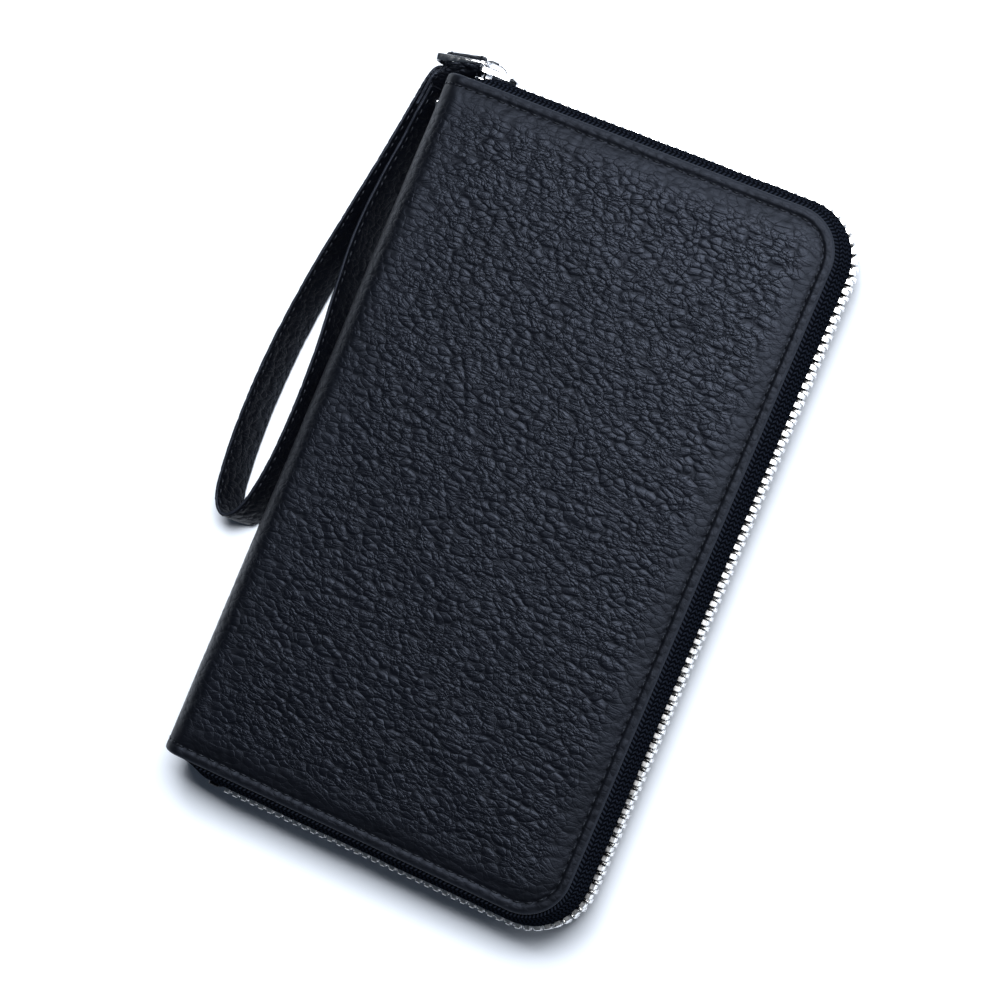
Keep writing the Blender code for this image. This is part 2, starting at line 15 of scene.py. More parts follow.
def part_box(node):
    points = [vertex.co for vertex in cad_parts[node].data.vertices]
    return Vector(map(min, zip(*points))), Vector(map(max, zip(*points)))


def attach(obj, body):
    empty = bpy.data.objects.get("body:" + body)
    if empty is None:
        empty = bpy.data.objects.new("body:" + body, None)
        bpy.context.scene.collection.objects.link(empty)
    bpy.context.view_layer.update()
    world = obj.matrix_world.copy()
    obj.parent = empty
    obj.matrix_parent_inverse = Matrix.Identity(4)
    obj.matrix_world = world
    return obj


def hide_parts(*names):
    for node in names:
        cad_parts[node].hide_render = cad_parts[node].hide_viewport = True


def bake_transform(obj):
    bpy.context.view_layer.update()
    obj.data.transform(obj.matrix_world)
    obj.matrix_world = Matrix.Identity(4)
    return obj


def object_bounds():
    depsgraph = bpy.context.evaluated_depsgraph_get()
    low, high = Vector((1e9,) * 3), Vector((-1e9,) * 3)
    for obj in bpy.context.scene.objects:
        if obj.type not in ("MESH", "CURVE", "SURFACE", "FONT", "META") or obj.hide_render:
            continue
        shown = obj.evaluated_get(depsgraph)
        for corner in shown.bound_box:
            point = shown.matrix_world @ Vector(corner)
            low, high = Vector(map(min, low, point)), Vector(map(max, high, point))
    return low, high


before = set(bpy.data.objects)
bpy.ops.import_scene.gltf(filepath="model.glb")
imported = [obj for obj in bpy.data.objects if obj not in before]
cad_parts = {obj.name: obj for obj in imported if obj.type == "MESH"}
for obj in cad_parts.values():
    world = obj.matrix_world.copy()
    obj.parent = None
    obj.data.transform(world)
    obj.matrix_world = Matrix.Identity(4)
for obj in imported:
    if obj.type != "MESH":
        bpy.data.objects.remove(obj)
CAD_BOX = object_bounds()
RNG = np.random.default_rng(7)

MM = 0.001
UV_UNIT = 0.1  # metres for one unit of UV, on every piece that has UVs

# Covers, from the frame
cover_low, cover_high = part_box("front_cover_leather")
SEAM, RIGHT, HALF, TOP = cover_low.x, cover_high.x, cover_high.y, cover_high.z
MIDDLE = TOP / 2
CORNER = 13 * MM
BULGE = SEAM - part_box("spine_leather")[0].x
SPINE_PULL = 2 * MM  # how far the spine's ends draw in at the fold

# Skin
EDGE_R = 0.6 * MM  # the turned edge
HEM = 7 * MM
STITCH_IN = 3 * MM
STITCH_PITCH = 3.3 * MM
THREAD_R = 0.26 * MM
FLANGE_SINK = 0.5 * MM  # the flange outside the stitches lies this far below the padded panel
CROWN = 0.22 * MM  # the panel's swell towards its middle
GROOVE = 0.26 * MM
HOLE = 0.32 * MM
PUCKER = 0.17 * MM
CORD = 0.13 * MM  # the roll between the stitches and the edge
UNEVEN = 0.12 * MM
SKIN_EMBOSS = 0.14 * MM

# Zip, from the frame
teeth_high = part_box("back_zip_teeth")[1]
TEETH_OUT = teeth_high.x - RIGHT
TEETH_DEPTH = 2.1 * MM
LINE_OUT = TEETH_OUT - TEETH_DEPTH / 2
TAPE_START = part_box("back_zip_tape")[0].x
TOOTH_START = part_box("back_zip_teeth")[0].x
TOOTH_PITCH = 2.7 * MM
TAPE = 0.6 * MM
TAPE_TAPER = 7 * MM  # over which the tape comes out from under the cover at each end
TEETH_PROUD = 0.15 * MM  # past the plain row; on the slider's side, twice as far short of it
TOOTH_WIDTH = 1.26 * MM
TOOTH_FOOT = 0.55 * MM  # a tooth's legs start this far down its tape
TOOTH_HOOK = 0.6 * MM  # its head goes this far past the middle height
ROW_BACK = 9.5 * MM
TAPE_SEWN = 1.8 * MM  # the height at which the tape leaves the cover

# Slider, ring and strap, as in the frame
SLIDER_X = -50.3 * MM
SLIDER_PLATE = 0.6 * MM
PLATE_RIM = 0.24 * MM
RING_ANGLE = math.radians(12)
RING_PIVOT = Vector((-53.8 * MM, 106.35 * MM, 12.8 * MM))
RING_LENGTH = 14.5 * MM
RING_HEIGHT = 6.7 * MM
RING_BAND = 0.52 * MM  # half the thickness of the ring's flat band
BAR_SPACE = 0.9 * MM  # from the bar's middle to the strap's fold
STRAP_AT_BAR = 8 * MM
STRAP_WIDTH = 11.5 * MM
STRAP_T = 1.3 * MM
STRAP_LEAN = math.radians(65)
STRAP_LAYER = 1.6 * MM
STRAP_Z = 5.55 * MM
FOLD_SLACK = 0.9 * MM  # the fold stands off the ring's bar
FINER = 4  # stations here for each one in the frame
TWIST = 15 * FINER  # the stations of the twisted part

# Coin pocket, from the frame
coin_low, coin_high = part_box("coin_pocket")


# Meshes --------------------


def place_piece(obj, body, made, replaces=()):
    for one in made if isinstance(made, list) else [made]:
        obj.data.materials.append(one)
    if body:
        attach(obj, body)
    if replaces:
        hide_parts(*replaces)
    return obj


def add_object(name, data):
    obj = bpy.data.objects.new(name, data)
    bpy.context.scene.collection.objects.link(obj)
    return obj


def mesh_object(name, points, faces, uv=None, sharp=None):
    """A smooth-shaded mesh from points, faces and one UV pair (in metres) for each point."""
    mesh = bpy.data.meshes.new(name)
    mesh.from_pydata(np.asarray(points, float).tolist(), [], faces)
    if uv is not None:
        corner = np.zeros(len(mesh.loops), int)
        mesh.loops.foreach_get("vertex_index", corner)
        values = (np.asarray(uv, float) / UV_UNIT)[corner]
        mesh.uv_layers.new(name="UVMap").data.foreach_set("uv", values.astype(np.float32).ravel())
    mesh.shade_smooth()
    if sharp:
        mesh.set_sharp_from_angle(angle=math.radians(sharp))
    return add_object(name, mesh)


def grid_faces(rows, columns, around=False):
    """Quads of a grid of points, row by row; around joins the last column to the first."""
    faces = []
    for i in range(rows - 1):
        for j in range(columns if around else columns - 1):
            k = (j + 1) % columns
            a, b = i * columns, (i + 1) * columns
            faces.append((a + j, a + k, b + k, b + j))
    return faces


def swept_faces(rows, columns):
    """The sides and both ends of a closed section swept through rows of points."""
    faces = grid_faces(rows, columns, around=True)
    faces.append(tuple(range(columns - 1, -1, -1)))
    faces.append(tuple(range((rows - 1) * columns, rows * columns)))
    return faces


def clean(obj, weld=False):
    """Turns every face outward; weld first joins the points that coincide."""
    bm = bmesh.new()
    bm.from_mesh(obj.data)
    if weld:
        bmesh.ops.remove_doubles(bm, verts=bm.verts, dist=1e-6)
        bmesh.ops.dissolve_degenerate(bm, edges=bm.edges, dist=1e-7)
    bmesh.ops.recalc_face_normals(bm, faces=bm.faces)
    bm.to_mesh(obj.data)
    bm.free()
    if weld:
        obj.data.shade_smooth()


def chrome_piece(name, solid, body, replaced, sharp):
    """A polished piece from its (points, faces)."""
    obj = mesh_object(name, *solid, sharp=sharp)
    clean(obj)
    place_piece(obj, body, CHROME, [replaced])


def gather(*solids):
    """Several (points, faces) as one."""
    points, faces = [], []
    for one_points, one_faces in solids:
        start = len(points)
        points += [tuple(p) for p in one_points]
        faces += [tuple(start + i for i in face) for face in one_faces]
    return points, faces


def compass(angle):
    """The level direction at an angle from X."""
    return Vector((math.cos(angle), math.sin(angle), 0))


def catmull_rom(four, t):
    p0, p1, p2, p3 = four
    bent = 2 * p1 + (p2 - p0) * t + (2 * p0 - 5 * p1 + 4 * p2 - p3) * t**2
    return 0.5 * (bent + (3 * p1 - p0 - 3 * p2 + p3) * t**3)


def curve_through(points, count):
    """Places on an open curve through the points."""
    points = [Vector(p) for p in points]
    points = [2 * points[0] - points[1]] + points + [2 * points[-1] - points[-2]]
    spans = len(points) - 3
    found = []
    for i in range(count + 1):
        at = min(spans * i / count, spans - 1e-9)
        found.append(catmull_rom(points[int(at) : int(at) + 4], at - int(at)))
    return found


def closed_smooth(points, each):
    """A closed outline through 2-D points, with this many places for each."""
    ring = [Vector((*p, 0)) for p in points]
    found = []
    for i in range(len(ring)):
        four = [ring[(i + k) % len(ring)] for k in (-1, 0, 1, 2)]
        found += [catmull_rom(four, j / each) for j in range(each)]
    return [(p.x, p.y) for p in found]


def mirrored(half):
    """A smooth closed outline from its upper half, mirrored in the wallet's middle height."""
    return closed_smooth(half + [(a, 2 * MIDDLE - b) for a, b in reversed(half)], 4)


def tubes(paths, radii, sides=6):
    """Closed tubes along many short paths of equal length: (points, faces)."""
    solids = []
    turn = np.linspace(0, 2 * np.pi, sides, endpoint=False)
    for path, up in paths:
        points = []
        along = np.gradient(path, axis=0)
        along /= np.linalg.norm(along, axis=1)[:, None]
        side = np.cross(along, up)
        side /= np.linalg.norm(side, axis=1)[:, None]
        lift = np.cross(side, along)
        for p, s, t, r in zip(path, side, lift, radii):
            points.extend(p + r * (np.cos(turn)[:, None] * s + np.sin(turn)[:, None] * t))
        solids.append((points, swept_faces(len(path), sides)))
    return gather(*solids)


def stitch_path(middle, along, up, length):
    """One stitch: five places along it, its ends sunk into the leather."""
    share = np.array([-1, -0.72, 0, 0.72, 1])
    rise = np.array([-1.3, 0.1, 0.45, 0.1, -1.3]) * THREAD_R
    return middle + share[:, None] * along * length / 2 + rise[:, None] * up, up


STITCH_RADII = THREAD_R * np.array([0.6, 0.95, 1, 0.95, 0.6])


def stitching(name, places, body, length=2.3 * MM, scale=1.0):
    """Thread for many (middle, direction, normal) places as one piece."""
    paths = []
    for middle, along, up in places:
        skew = np.cross(up, along) * RNG.normal(0, 0.06)
        paths.append(stitch_path(np.array(middle), np.array(along) + skew, np.array(up), length))
    obj = mesh_object(name, *tubes(paths, STITCH_RADII * scale))
    return place_piece(obj, body, THREAD)


def smoothstep(x, low, high):
    t = np.clip((x - low) / (high - low), 0, 1)
    return t * t * (3 - 2 * t)


def wander(x, y, seed):
    """Smooth lattice noise from -1 to 1."""
    table = np.random.default_rng(seed).uniform(-1, 1, (64, 64))
    i, j = np.floor(x).astype(int), np.floor(y).astype(int)
    u, v = x - i, y - j
    u, v = u * u * (3 - 2 * u), v * v * (3 - 2 * v)
    a, b = table[i % 64, j % 64], table[(i + 1) % 64, j % 64]
    c, d = table[i % 64, (j + 1) % 64], table[(i + 1) % 64, (j + 1) % 64]
    return (a * (1 - u) + b * u) * (1 - v) + (c * (1 - u) + d * u) * v


# Materials --------------------


def node(tree, kind, inputs=None, **settings):
    made = tree.nodes.new(kind)
    for key, value in settings.items():
        setattr(made, key, value)
    for key, value in (inputs or {}).items():
        if isinstance(value, bpy.types.NodeSocket):
            tree.links.new(value, made.inputs[key])
        else:
            made.inputs[key].default_value = value
    return made


def math_node(tree, operation, a, b=0.0):
    return node(tree, "ShaderNodeMath", {0: a, 1: b}, operation=operation).outputs[0]


def vector_node(tree, operation, a, b):
    return node(tree, "ShaderNodeVectorMath", {0: a, 1: b}, operation=operation).outputs[0]


def ramp(tree, value, low, high, out_low=0.0, out_high=1.0):
    made = node(tree, "ShaderNodeMapRange", {0: value, 1: low, 2: high, 3: out_low, 4: out_high})
    made.interpolation_type = "SMOOTHSTEP"
    return made.outputs[0]


def blend(tree, share, one, two):
    kept = math_node(tree, "MULTIPLY", one, math_node(tree, "SUBTRACT", 1.0, share))
    return math_node(tree, "ADD", kept, math_node(tree, "MULTIPLY", two, share))


def blend_colour(tree, share, one, two):
    made = node(tree, "ShaderNodeMix", data_type="RGBA")
    for key, value in ((0, share), (6, one), (7, two)):
        if isinstance(value, bpy.types.NodeSocket):
            tree.links.new(value, made.inputs[key])
        else:
            made.inputs[key].default_value = (*value, 1)
    return made.outputs[2]


def shaded(tree, value, low, high, colour, dark, light):
    """From dark times the colour to light times it, as the value goes from low to high."""
    one, two = [tuple(c * k for c in colour) for k in (dark, light)]
    return blend_colour(tree, ramp(tree, value, low, high), one, two)


def noise(tree, vector, scale, detail=2.0, roughness=0.5):
    inputs = {"Vector": vector, "Scale": scale, "Detail": detail, "Roughness": roughness}
    return node(tree, "ShaderNodeTexNoise", inputs)


def material(name, colour, roughness, **settings):
    """A material with its fixed shader settings, and its tree and shader to add detail to."""
    made = bpy.data.materials.new(name)
    made.use_nodes = True
    shader = made.node_tree.nodes["Principled BSDF"]
    shader.inputs["Base Color"].default_value = (*colour, 1)
    shader.inputs["Roughness"].default_value = roughness
    for key, value in settings.items():
        shader.inputs[key.replace("_", " ")].default_value = value
    return made, made.node_tree, shader


def set_bump(tree, shader, height, distance):
    bump = node(tree, "ShaderNodeBump", {"Height": height, "Distance": distance})
    tree.links.new(bump.outputs[0], shader.inputs["Normal"])


def millimetres(tree, source):
    """Texture coordinates in millimetres, from the UV map or the object's own space."""
    coordinates = node(tree, "ShaderNodeTexCoord")
    scale = UV_UNIT / MM if source == "UV" else 1 / MM
    return vector_node(tree, "MULTIPLY", coordinates.outputs[source], (scale, scale, scale))


def cells(tree, place, scale, feature, **more):
    inputs = {"Vector": place, "Scale": scale, **more}
    settings = {"voronoi_dimensions": "2D", "feature": feature}
    return node(tree, "ShaderNodeTexVoronoi", inputs, **settings).outputs["Distance"]


def pebbles(tree, place, scale):
    """Round-topped cells with a thin crease between some of them."""
    away = cells(tree, place, scale, "SMOOTH_F1", Smoothness=0.12)
    dome = ramp(tree, math_node(tree, "MULTIPLY", away, away), 0.0, 0.5, 1.0, 0.0)
    crease = ramp(tree, cells(tree, place, scale, "DISTANCE_TO_EDGE"), -0.01, 0.09)
    depth = ramp(tree, noise(tree, place, 0.9, 1.0).outputs[0], 0.38, 0.6, 0.1, 0.5)
    return blend(tree, depth, dome, crease)


def grain_height(tree, place, size=1.0):
    """Pebbled grain from 0 in the creases to 1 on the pebbles; place is in millimetres. The cells
    are wider across the wallet than along it. Shader and displacement both use it."""
    spread = vector_node(tree, "MULTIPLY", place, (0.36 / size, 0.56 / size, 0))
    sway = noise(tree, spread, 0.42, 1.0)
    sway = vector_node(tree, "SUBTRACT", sway.outputs["Color"], (0.5, 0.5, 0.5))
    bent = vector_node(tree, "ADD", spread, vector_node(tree, "MULTIPLY", sway, (1.7, 1.2, 0)))
    patchy = noise(tree, spread, 0.3, 1.0)
    amount = ramp(tree, patchy.outputs[0], 0.35, 0.65, 0.12, 0.42)
    return blend(tree, amount, pebbles(tree, bent, 1.0), pebbles(tree, bent, 2.1))


def leather(name, colour, roughness, depth, size=1.0, masked=False):
    """Grained leather on UVs. masked leather fades its grain by the mesh's grain attribute."""
    cool = {"Specular_IOR_Level": 0.19, "Specular_Tint": (0.66, 0.76, 1.0, 1)}
    made, tree, shader = material(name, colour, roughness, **cool)
    place = millimetres(tree, "UV")
    height = grain_height(tree, place, size)
    if masked:
        mask = node(tree, "ShaderNodeAttribute", attribute_name="grain").outputs["Fac"]
        height = math_node(tree, "MULTIPLY", height, mask)
    pores = noise(tree, place, 2.6, 4.0, 0.6)
    fine = math_node(tree, "ADD", height, math_node(tree, "MULTIPLY", pores.outputs[0], 0.22))
    set_bump(tree, shader, fine, depth)
    # Painted shade: the base colour darkens in the grain's creases, with a random cloudy tone added on top.
    cloud = noise(tree, place, 0.06, 3.0)
    painted_crease_shade_and_tone = math_node(tree, "ADD", math_node(tree, "MULTIPLY", height, 0.6), cloud.outputs[0])
    tint = shaded(tree, painted_crease_shade_and_tone, 0.35, 1.1, colour, 0.6, 1.2)
    # The rim is lighter: edge paint together with a painted highlight along the turned edge.
    if masked:
        edge = node(tree, "ShaderNodeAttribute", attribute_name="edge").outputs["Fac"]
        tint = blend_colour(tree, edge, tint, EDGE_PAINT_AND_HIGHLIGHT)
    tree.links.new(tint, shader.inputs["Base Color"])
    rough = ramp(tree, fine, 0.0, 1.1, roughness + 0.16, roughness - 0.03)
    tree.links.new(rough, shader.inputs["Roughness"])
    return made


def woven(name, colour, depth, pitch):
    """Knitted zip tape on UVs: columns of slanted loops that change hand from one to the next."""
    made, tree, shader = material(name, colour, 0.85, Specular_IOR_Level=0.0)
    place = millimetres(tree, "UV")
    parts = node(tree, "ShaderNodeSeparateXYZ", {0: place})
    column = math_node(tree, "PINGPONG", parts.outputs["Y"], pitch)
    slant = math_node(tree, "MULTIPLY", column, 0.62)
    turn = math_node(tree, "ADD", parts.outputs["X"], slant)
    wave = math_node(tree, "SINE", math_node(tree, "MULTIPLY", turn, 2 * math.pi / pitch))
    wale = math_node(tree, "SINE", math_node(tree, "MULTIPLY", parts.outputs["Y"], math.pi / pitch))
    wale = math_node(tree, "ABSOLUTE", wale)
    fuzz = noise(tree, place, 3.2, 3.0, 0.6)
    loops = math_node(tree, "MULTIPLY", ramp(tree, wave, -0.8, 0.7), ramp(tree, wale, 0.0, 0.6))
    height = math_node(tree, "ADD", loops, math_node(tree, "MULTIPLY", fuzz.outputs[0], 0.35))
    set_bump(tree, shader, height, depth)
    # Painted shade: the colour darkens in the hollows between the knitted loops and lightens on their tops.
    tint = shaded(tree, height, 0.1, 1.1, colour, 0.25, 2.1)
    tree.links.new(tint, shader.inputs["Base Color"])
    return made


def metal(name, colour, roughness, wear):
    made, tree, shader = material(name, colour, roughness, Metallic=1.0)
    place = millimetres(tree, "Object")
    smudge = noise(tree, place, 0.5, 3.0)
    rough = ramp(tree, smudge.outputs[0], 0.35, 0.75, roughness, roughness + wear)
    tree.links.new(rough, shader.inputs["Roughness"])
    tint = shaded(tree, noise(tree, place, 1.1, 4.0).outputs[0], 0.3, 0.6, colour, 0.72, 1)
    tree.links.new(tint, shader.inputs["Base Color"])
    marks = noise(tree, vector_node(tree, "MULTIPLY", place, (1, 1, 9)), 1.4, 3.0)
    set_bump(tree, shader, marks.outputs[0], 0.01 * MM)
    return made


def fibre(name, colour, scale, depth, roughness):
    """Thread, board and lining cloth: short crossed fibres in the object's own space."""
    cool = {"Specular_IOR_Level": 0.3, "Specular_Tint": (0.7, 0.8, 1.0, 1)}
    made, tree, shader = material(name, colour, roughness, **cool)
    place = millimetres(tree, "Object")
    warp = noise(tree, vector_node(tree, "MULTIPLY", place, (1, 7, 2)), scale, 3.0)
    weft = noise(tree, vector_node(tree, "MULTIPLY", place, (7, 1, 2)), scale, 3.0)
    height = math_node(tree, "MAXIMUM", warp.outputs[0], weft.outputs[0])
    set_bump(tree, shader, height, depth)
    # Painted shade: the colour darkens in the low places between the raised fibres.
    tint = shaded(tree, height, 0.4, 0.75, colour, 0.5, 1.35)
    tree.links.new(tint, shader.inputs["Base Color"])
    return made


NAVY_BLACK = (0.0014, 0.0018, 0.0032)
# Lighter rim colour for the cover's turned edge: edge paint and a painted highlight.
EDGE_PAINT_AND_HIGHLIGHT = (0.014, 0.017, 0.024)
OUTER = leather("outer_leather", NAVY_BLACK, 0.38, 0.2 * MM, masked=True)
STRAP_LEATHER = leather("strap_leather", NAVY_BLACK, 0.38, 0.14 * MM, size=0.8)
INNER = leather("inner_leather", (0.016, 0.017, 0.021), 0.5, 0.1 * MM, size=0.4)
EDGE = leather("edge_paint", (0.006, 0.0072, 0.011), 0.42, 0.03 * MM, size=0.3)
TAPE_CLOTH = woven("zip_tape_cloth", (0.0048, 0.0062, 0.0098), 0.26 * MM, pitch=1.25)
CHROME = metal("chrome", (0.83, 0.84, 0.86), 0.06, 0.1)
TEETH = metal("teeth_metal", (0.86, 0.86, 0.86), 0.26, 0.1)
# Painted shade: a near-black metal, so that the end stop stays dark in the opening at the spine's end.
PAINTED_SHADE_METAL = metal("painted_shade_metal", (0.02, 0.022, 0.027), 0.3, 0.1)
THREAD = fibre("thread", (0.002, 0.0024, 0.0038), 1.4, 0.05 * MM, 0.45)
LINING = fibre("lining_cloth", (0.022, 0.023, 0.028), 0.9, 0.06 * MM, 0.85)
BOARD = fibre("stiffener_board", (0.25, 0.22, 0.18), 0.5, 0.05 * MM, 0.9)


def paint(made, *nodes):
    for name in nodes:
        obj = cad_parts[name]
        obj.data.materials.clear()
        obj.data.materials.append(made)


# Outer skin --------------------

ANGLES = np.radians(np.linspace(-90, 90, 181))
ARC = np.stack([SEAM - BULGE * np.cos(ANGLES), MIDDLE + MIDDLE * np.sin(ANGLES)], 1)
ARC_LENGTH = np.concatenate([[0], np.cumsum(np.linalg.norm(np.diff(ARC, axis=0), axis=1))])
U_SEAM = ARC_LENGTH[-1] / 2  # unrolled distance from the fold's middle to a cover
U_END = U_SEAM + RIGHT - SEAM
U_BEND = U_END - CORNER
V_BEND = HALF - CORNER


def half_length(u, y):
    """The skin's half length at an unrolled place: drawn in round the fold, mostly at the ring's
    end below the middle, where the strap passes."""
    ring_end = SPINE_PULL * np.exp(-(((u + 3 * MM) / (6.5 * MM)) ** 2))
    plain_end = SPINE_PULL / 5 * np.cos(np.pi / 2 * np.clip(np.abs(u) / U_SEAM, 0, 1)) ** 2
    return HALF - np.where(np.asarray(y) > 0, ring_end, plain_end)


def edge_distance(u, y):
    w, v = np.abs(u), np.abs(y)
    bend = CORNER - np.hypot(w - U_BEND, v - V_BEND)
    straight = np.minimum(U_END - w, half_length(u, y) - v)
    return np.where((w > U_BEND) & (v > V_BEND), bend, straight)


SEAM_R = CORNER - STITCH_IN
QUARTER = U_BEND + SEAM_R * math.pi / 2 + V_BEND
STITCHES = round(QUARTER / STITCH_PITCH)
PITCH = QUARTER / STITCHES


def seam_place(u, y):
    """Distance along the stitch line of one quarter, from the fold's middle to the mouth's."""
    w, v = np.abs(u), np.abs(y)
    turn = np.arctan2(w - U_BEND, v - V_BEND)
    bend = U_BEND + SEAM_R * np.clip(turn, 0, math.pi / 2)
    side = U_BEND + SEAM_R * math.pi / 2 + V_BEND - v
    end = np.minimum(w, U_BEND)
    in_bend = (w > U_BEND) & (v > V_BEND)
    near_side = (U_END - w) < (HALF - v)
    return np.where(in_bend, bend, np.where(near_side, side, end))


def seam_point(s, side, end):
    """(w, v) and the direction of the line at a distance along one quarter's stitch line."""
    if s < U_BEND:
        return s, float(half_length(side * s, end)) - STITCH_IN, (1.0, 0.0)
    turn = (s - U_BEND) / SEAM_R
    if turn < math.pi / 2:
        place = U_BEND + SEAM_R * math.sin(turn), V_BEND + SEAM_R * math.cos(turn)
        return (*place, (math.cos(turn), -math.sin(turn)))
    rest = s - U_BEND - SEAM_R * math.pi / 2
    return U_END - STITCH_IN, V_BEND - rest, (0.0, -1.0)


def relief(u, y):
    """How far the leather stands off its plain form: padded panel, seam groove, puckered flange."""
    d, s = edge_distance(u, y), seam_place(u, y)
    quarter = 10 * (u > 0) + 3 * (y > 0)
    flat = smoothstep(np.abs(u), U_SEAM * 0.75, U_SEAM * 1.1)
    phase = (s / PITCH) % 1
    hole = np.minimum(phase, 1 - phase) * PITCH
    height = -FLANGE_SINK * (1 - smoothstep(d, STITCH_IN, STITCH_IN + 4.5 * MM)) * flat
    height += CROWN * smoothstep(d, 6 * MM, 30 * MM) * flat
    groove = np.exp(-(((d - STITCH_IN) / (0.5 * MM)) ** 2))
    height -= GROOVE * groove * (0.75 + 0.25 * flat)
    height -= HOLE * groove * np.exp(-((hole / (0.4 * MM)) ** 2))
    swell = smoothstep(d, 0.3 * MM, 1.4 * MM) * (1 - smoothstep(d, 2 * MM, 2.9 * MM))
    height += CORD * swell * (1 - 0.8 * np.exp(-((hole / (0.5 * MM)) ** 2)))
    height += 0.05 * MM * swell * wander(s / (1.1 * MM), d / MM + quarter, 3)
    pull = np.abs(wander(s / (2.3 * MM), d / (9 * MM) + quarter, 5))
    inside = np.clip(d - STITCH_IN, 0, 1)
    fade = smoothstep(inside, 0, 1.2 * MM) * np.exp(-inside / (5 * MM))
    height -= PUCKER * fade * (1 - smoothstep(pull, 0.0, 0.3))
    height += UNEVEN * wander(u / (14 * MM) + 5, y / (11 * MM) + 9, 8)
    resting = smoothstep(-u, U_SEAM * 0.7, U_SEAM)
    return np.where(height > 0, height * (1 - 0.95 * resting), height)


def skin(u, y, height=0.0):
    """Points on the skin and its plain normals, for arrays of unrolled places."""
    u, y = np.broadcast_arrays(np.asarray(u, float), np.asarray(y, float))
    w = np.abs(u)
    angle = np.interp(u + U_SEAM, ARC_LENGTH, ANGLES)
    x = np.where(w > U_SEAM, SEAM + w - U_SEAM, SEAM - BULGE * np.cos(angle))
    z = np.where(w > U_SEAM, np.where(u > 0, TOP, 0), MIDDLE + MIDDLE * np.sin(angle))
    normal = np.stack([-np.cos(angle) / BULGE, np.zeros_like(x), np.sin(angle) / MIDDLE], -1)
    normal /= np.linalg.norm(normal, axis=-1)[..., None]
    flat = np.stack([np.zeros_like(x), np.zeros_like(x), np.sign(u)], -1)
    normal = np.where((w > U_SEAM)[..., None], flat, normal)
    return np.stack([x, y, z], -1) + normal * np.asarray(height)[..., None], normal


def graded(length, step, fine, first, last):
    """Places from 0 to length, closer together within first and last of its ends."""
    found = [0.0]
    while found[-1] < length:
        near = found[-1] < first or length - found[-1] < last
        found.append(found[-1] + (fine if near else step))
    return np.array(found) * length / found[-1]


def skin_columns():
    """Unrolled places across the skin, and the half length at each, inset by the edge's radius."""
    front = U_SEAM + graded(U_BEND - U_SEAM, 0.66 * MM, 0.66 * MM, 0, 0)
    back = U_SEAM + graded(U_BEND - U_SEAM, 2 * MM, 2 * MM, 0, 0)
    fold = np.linspace(-U_SEAM, U_SEAM, 34)[1:-1]
    radius = CORNER - EDGE_R
    turns = np.linspace(0, math.pi / 2, 34)[1:]
    few = np.linspace(0, math.pi / 2, 17)[1:]
    u = np.concatenate(
        [-(U_BEND + radius * np.sin(few))[::-1], -back[::-1], fold, front, U_BEND + radius * np.sin(turns)]
    )
    w = np.abs(u)
    bend = V_BEND + np.sqrt(np.clip(radius**2 - (w - U_BEND) ** 2, 0, None))
    halves = [np.where(w > U_BEND, bend, half_length(u, end) - EDGE_R) for end in (-1, 1)]
    return u, *halves


def outward(u, y):
    """Unit direction in the unrolled skin from a place on its border, away from the middle."""
    w, v = np.abs(u), np.abs(y)
    in_bend = (w > U_BEND + 1e-9) & (v > V_BEND + 1e-9)
    side = ~in_bend & ((U_END - w) < (half_length(u, y) - v))
    du = np.where(in_bend, w - U_BEND, np.where(side, 1.0, 0.0))
    dv = np.where(in_bend, v - V_BEND, np.where(side, 0.0, 1.0))
    size = np.hypot(du, dv)
    return du / size * np.sign(u), dv / size * np.sign(y)


def edge_rings(u, y):
    """The turned edge and hem: rings of points round the border, with their unrolled places."""
    du, dv = outward(u, y)
    base, normal = skin(u, y, relief(u, y))
    ahead, _ = skin(u + du * 1e-5, y + dv * 1e-5)
    here, _ = skin(u, y)
    out = ahead - here
    out /= np.linalg.norm(out, axis=-1)[:, None]
    rings, places = [], []
    for turn in np.radians([30, 60, 90, 125, 165]):
        rings.append(base + out * EDGE_R * math.sin(turn) - normal * EDGE_R * (1 - math.cos(turn)))
        places.append(np.stack([u + du * EDGE_R * turn, y + dv * EDGE_R * turn], 1))
    for inset in (1.5 * MM, HEM):
        under, _ = skin(u - du * inset, y - dv * inset, -2 * EDGE_R - 0.3 * MM)
        rings.append(under)
        places.append(np.stack([u + du * (2 * EDGE_R + inset), y + dv * (2 * EDGE_R + inset)], 1))
    return rings, places


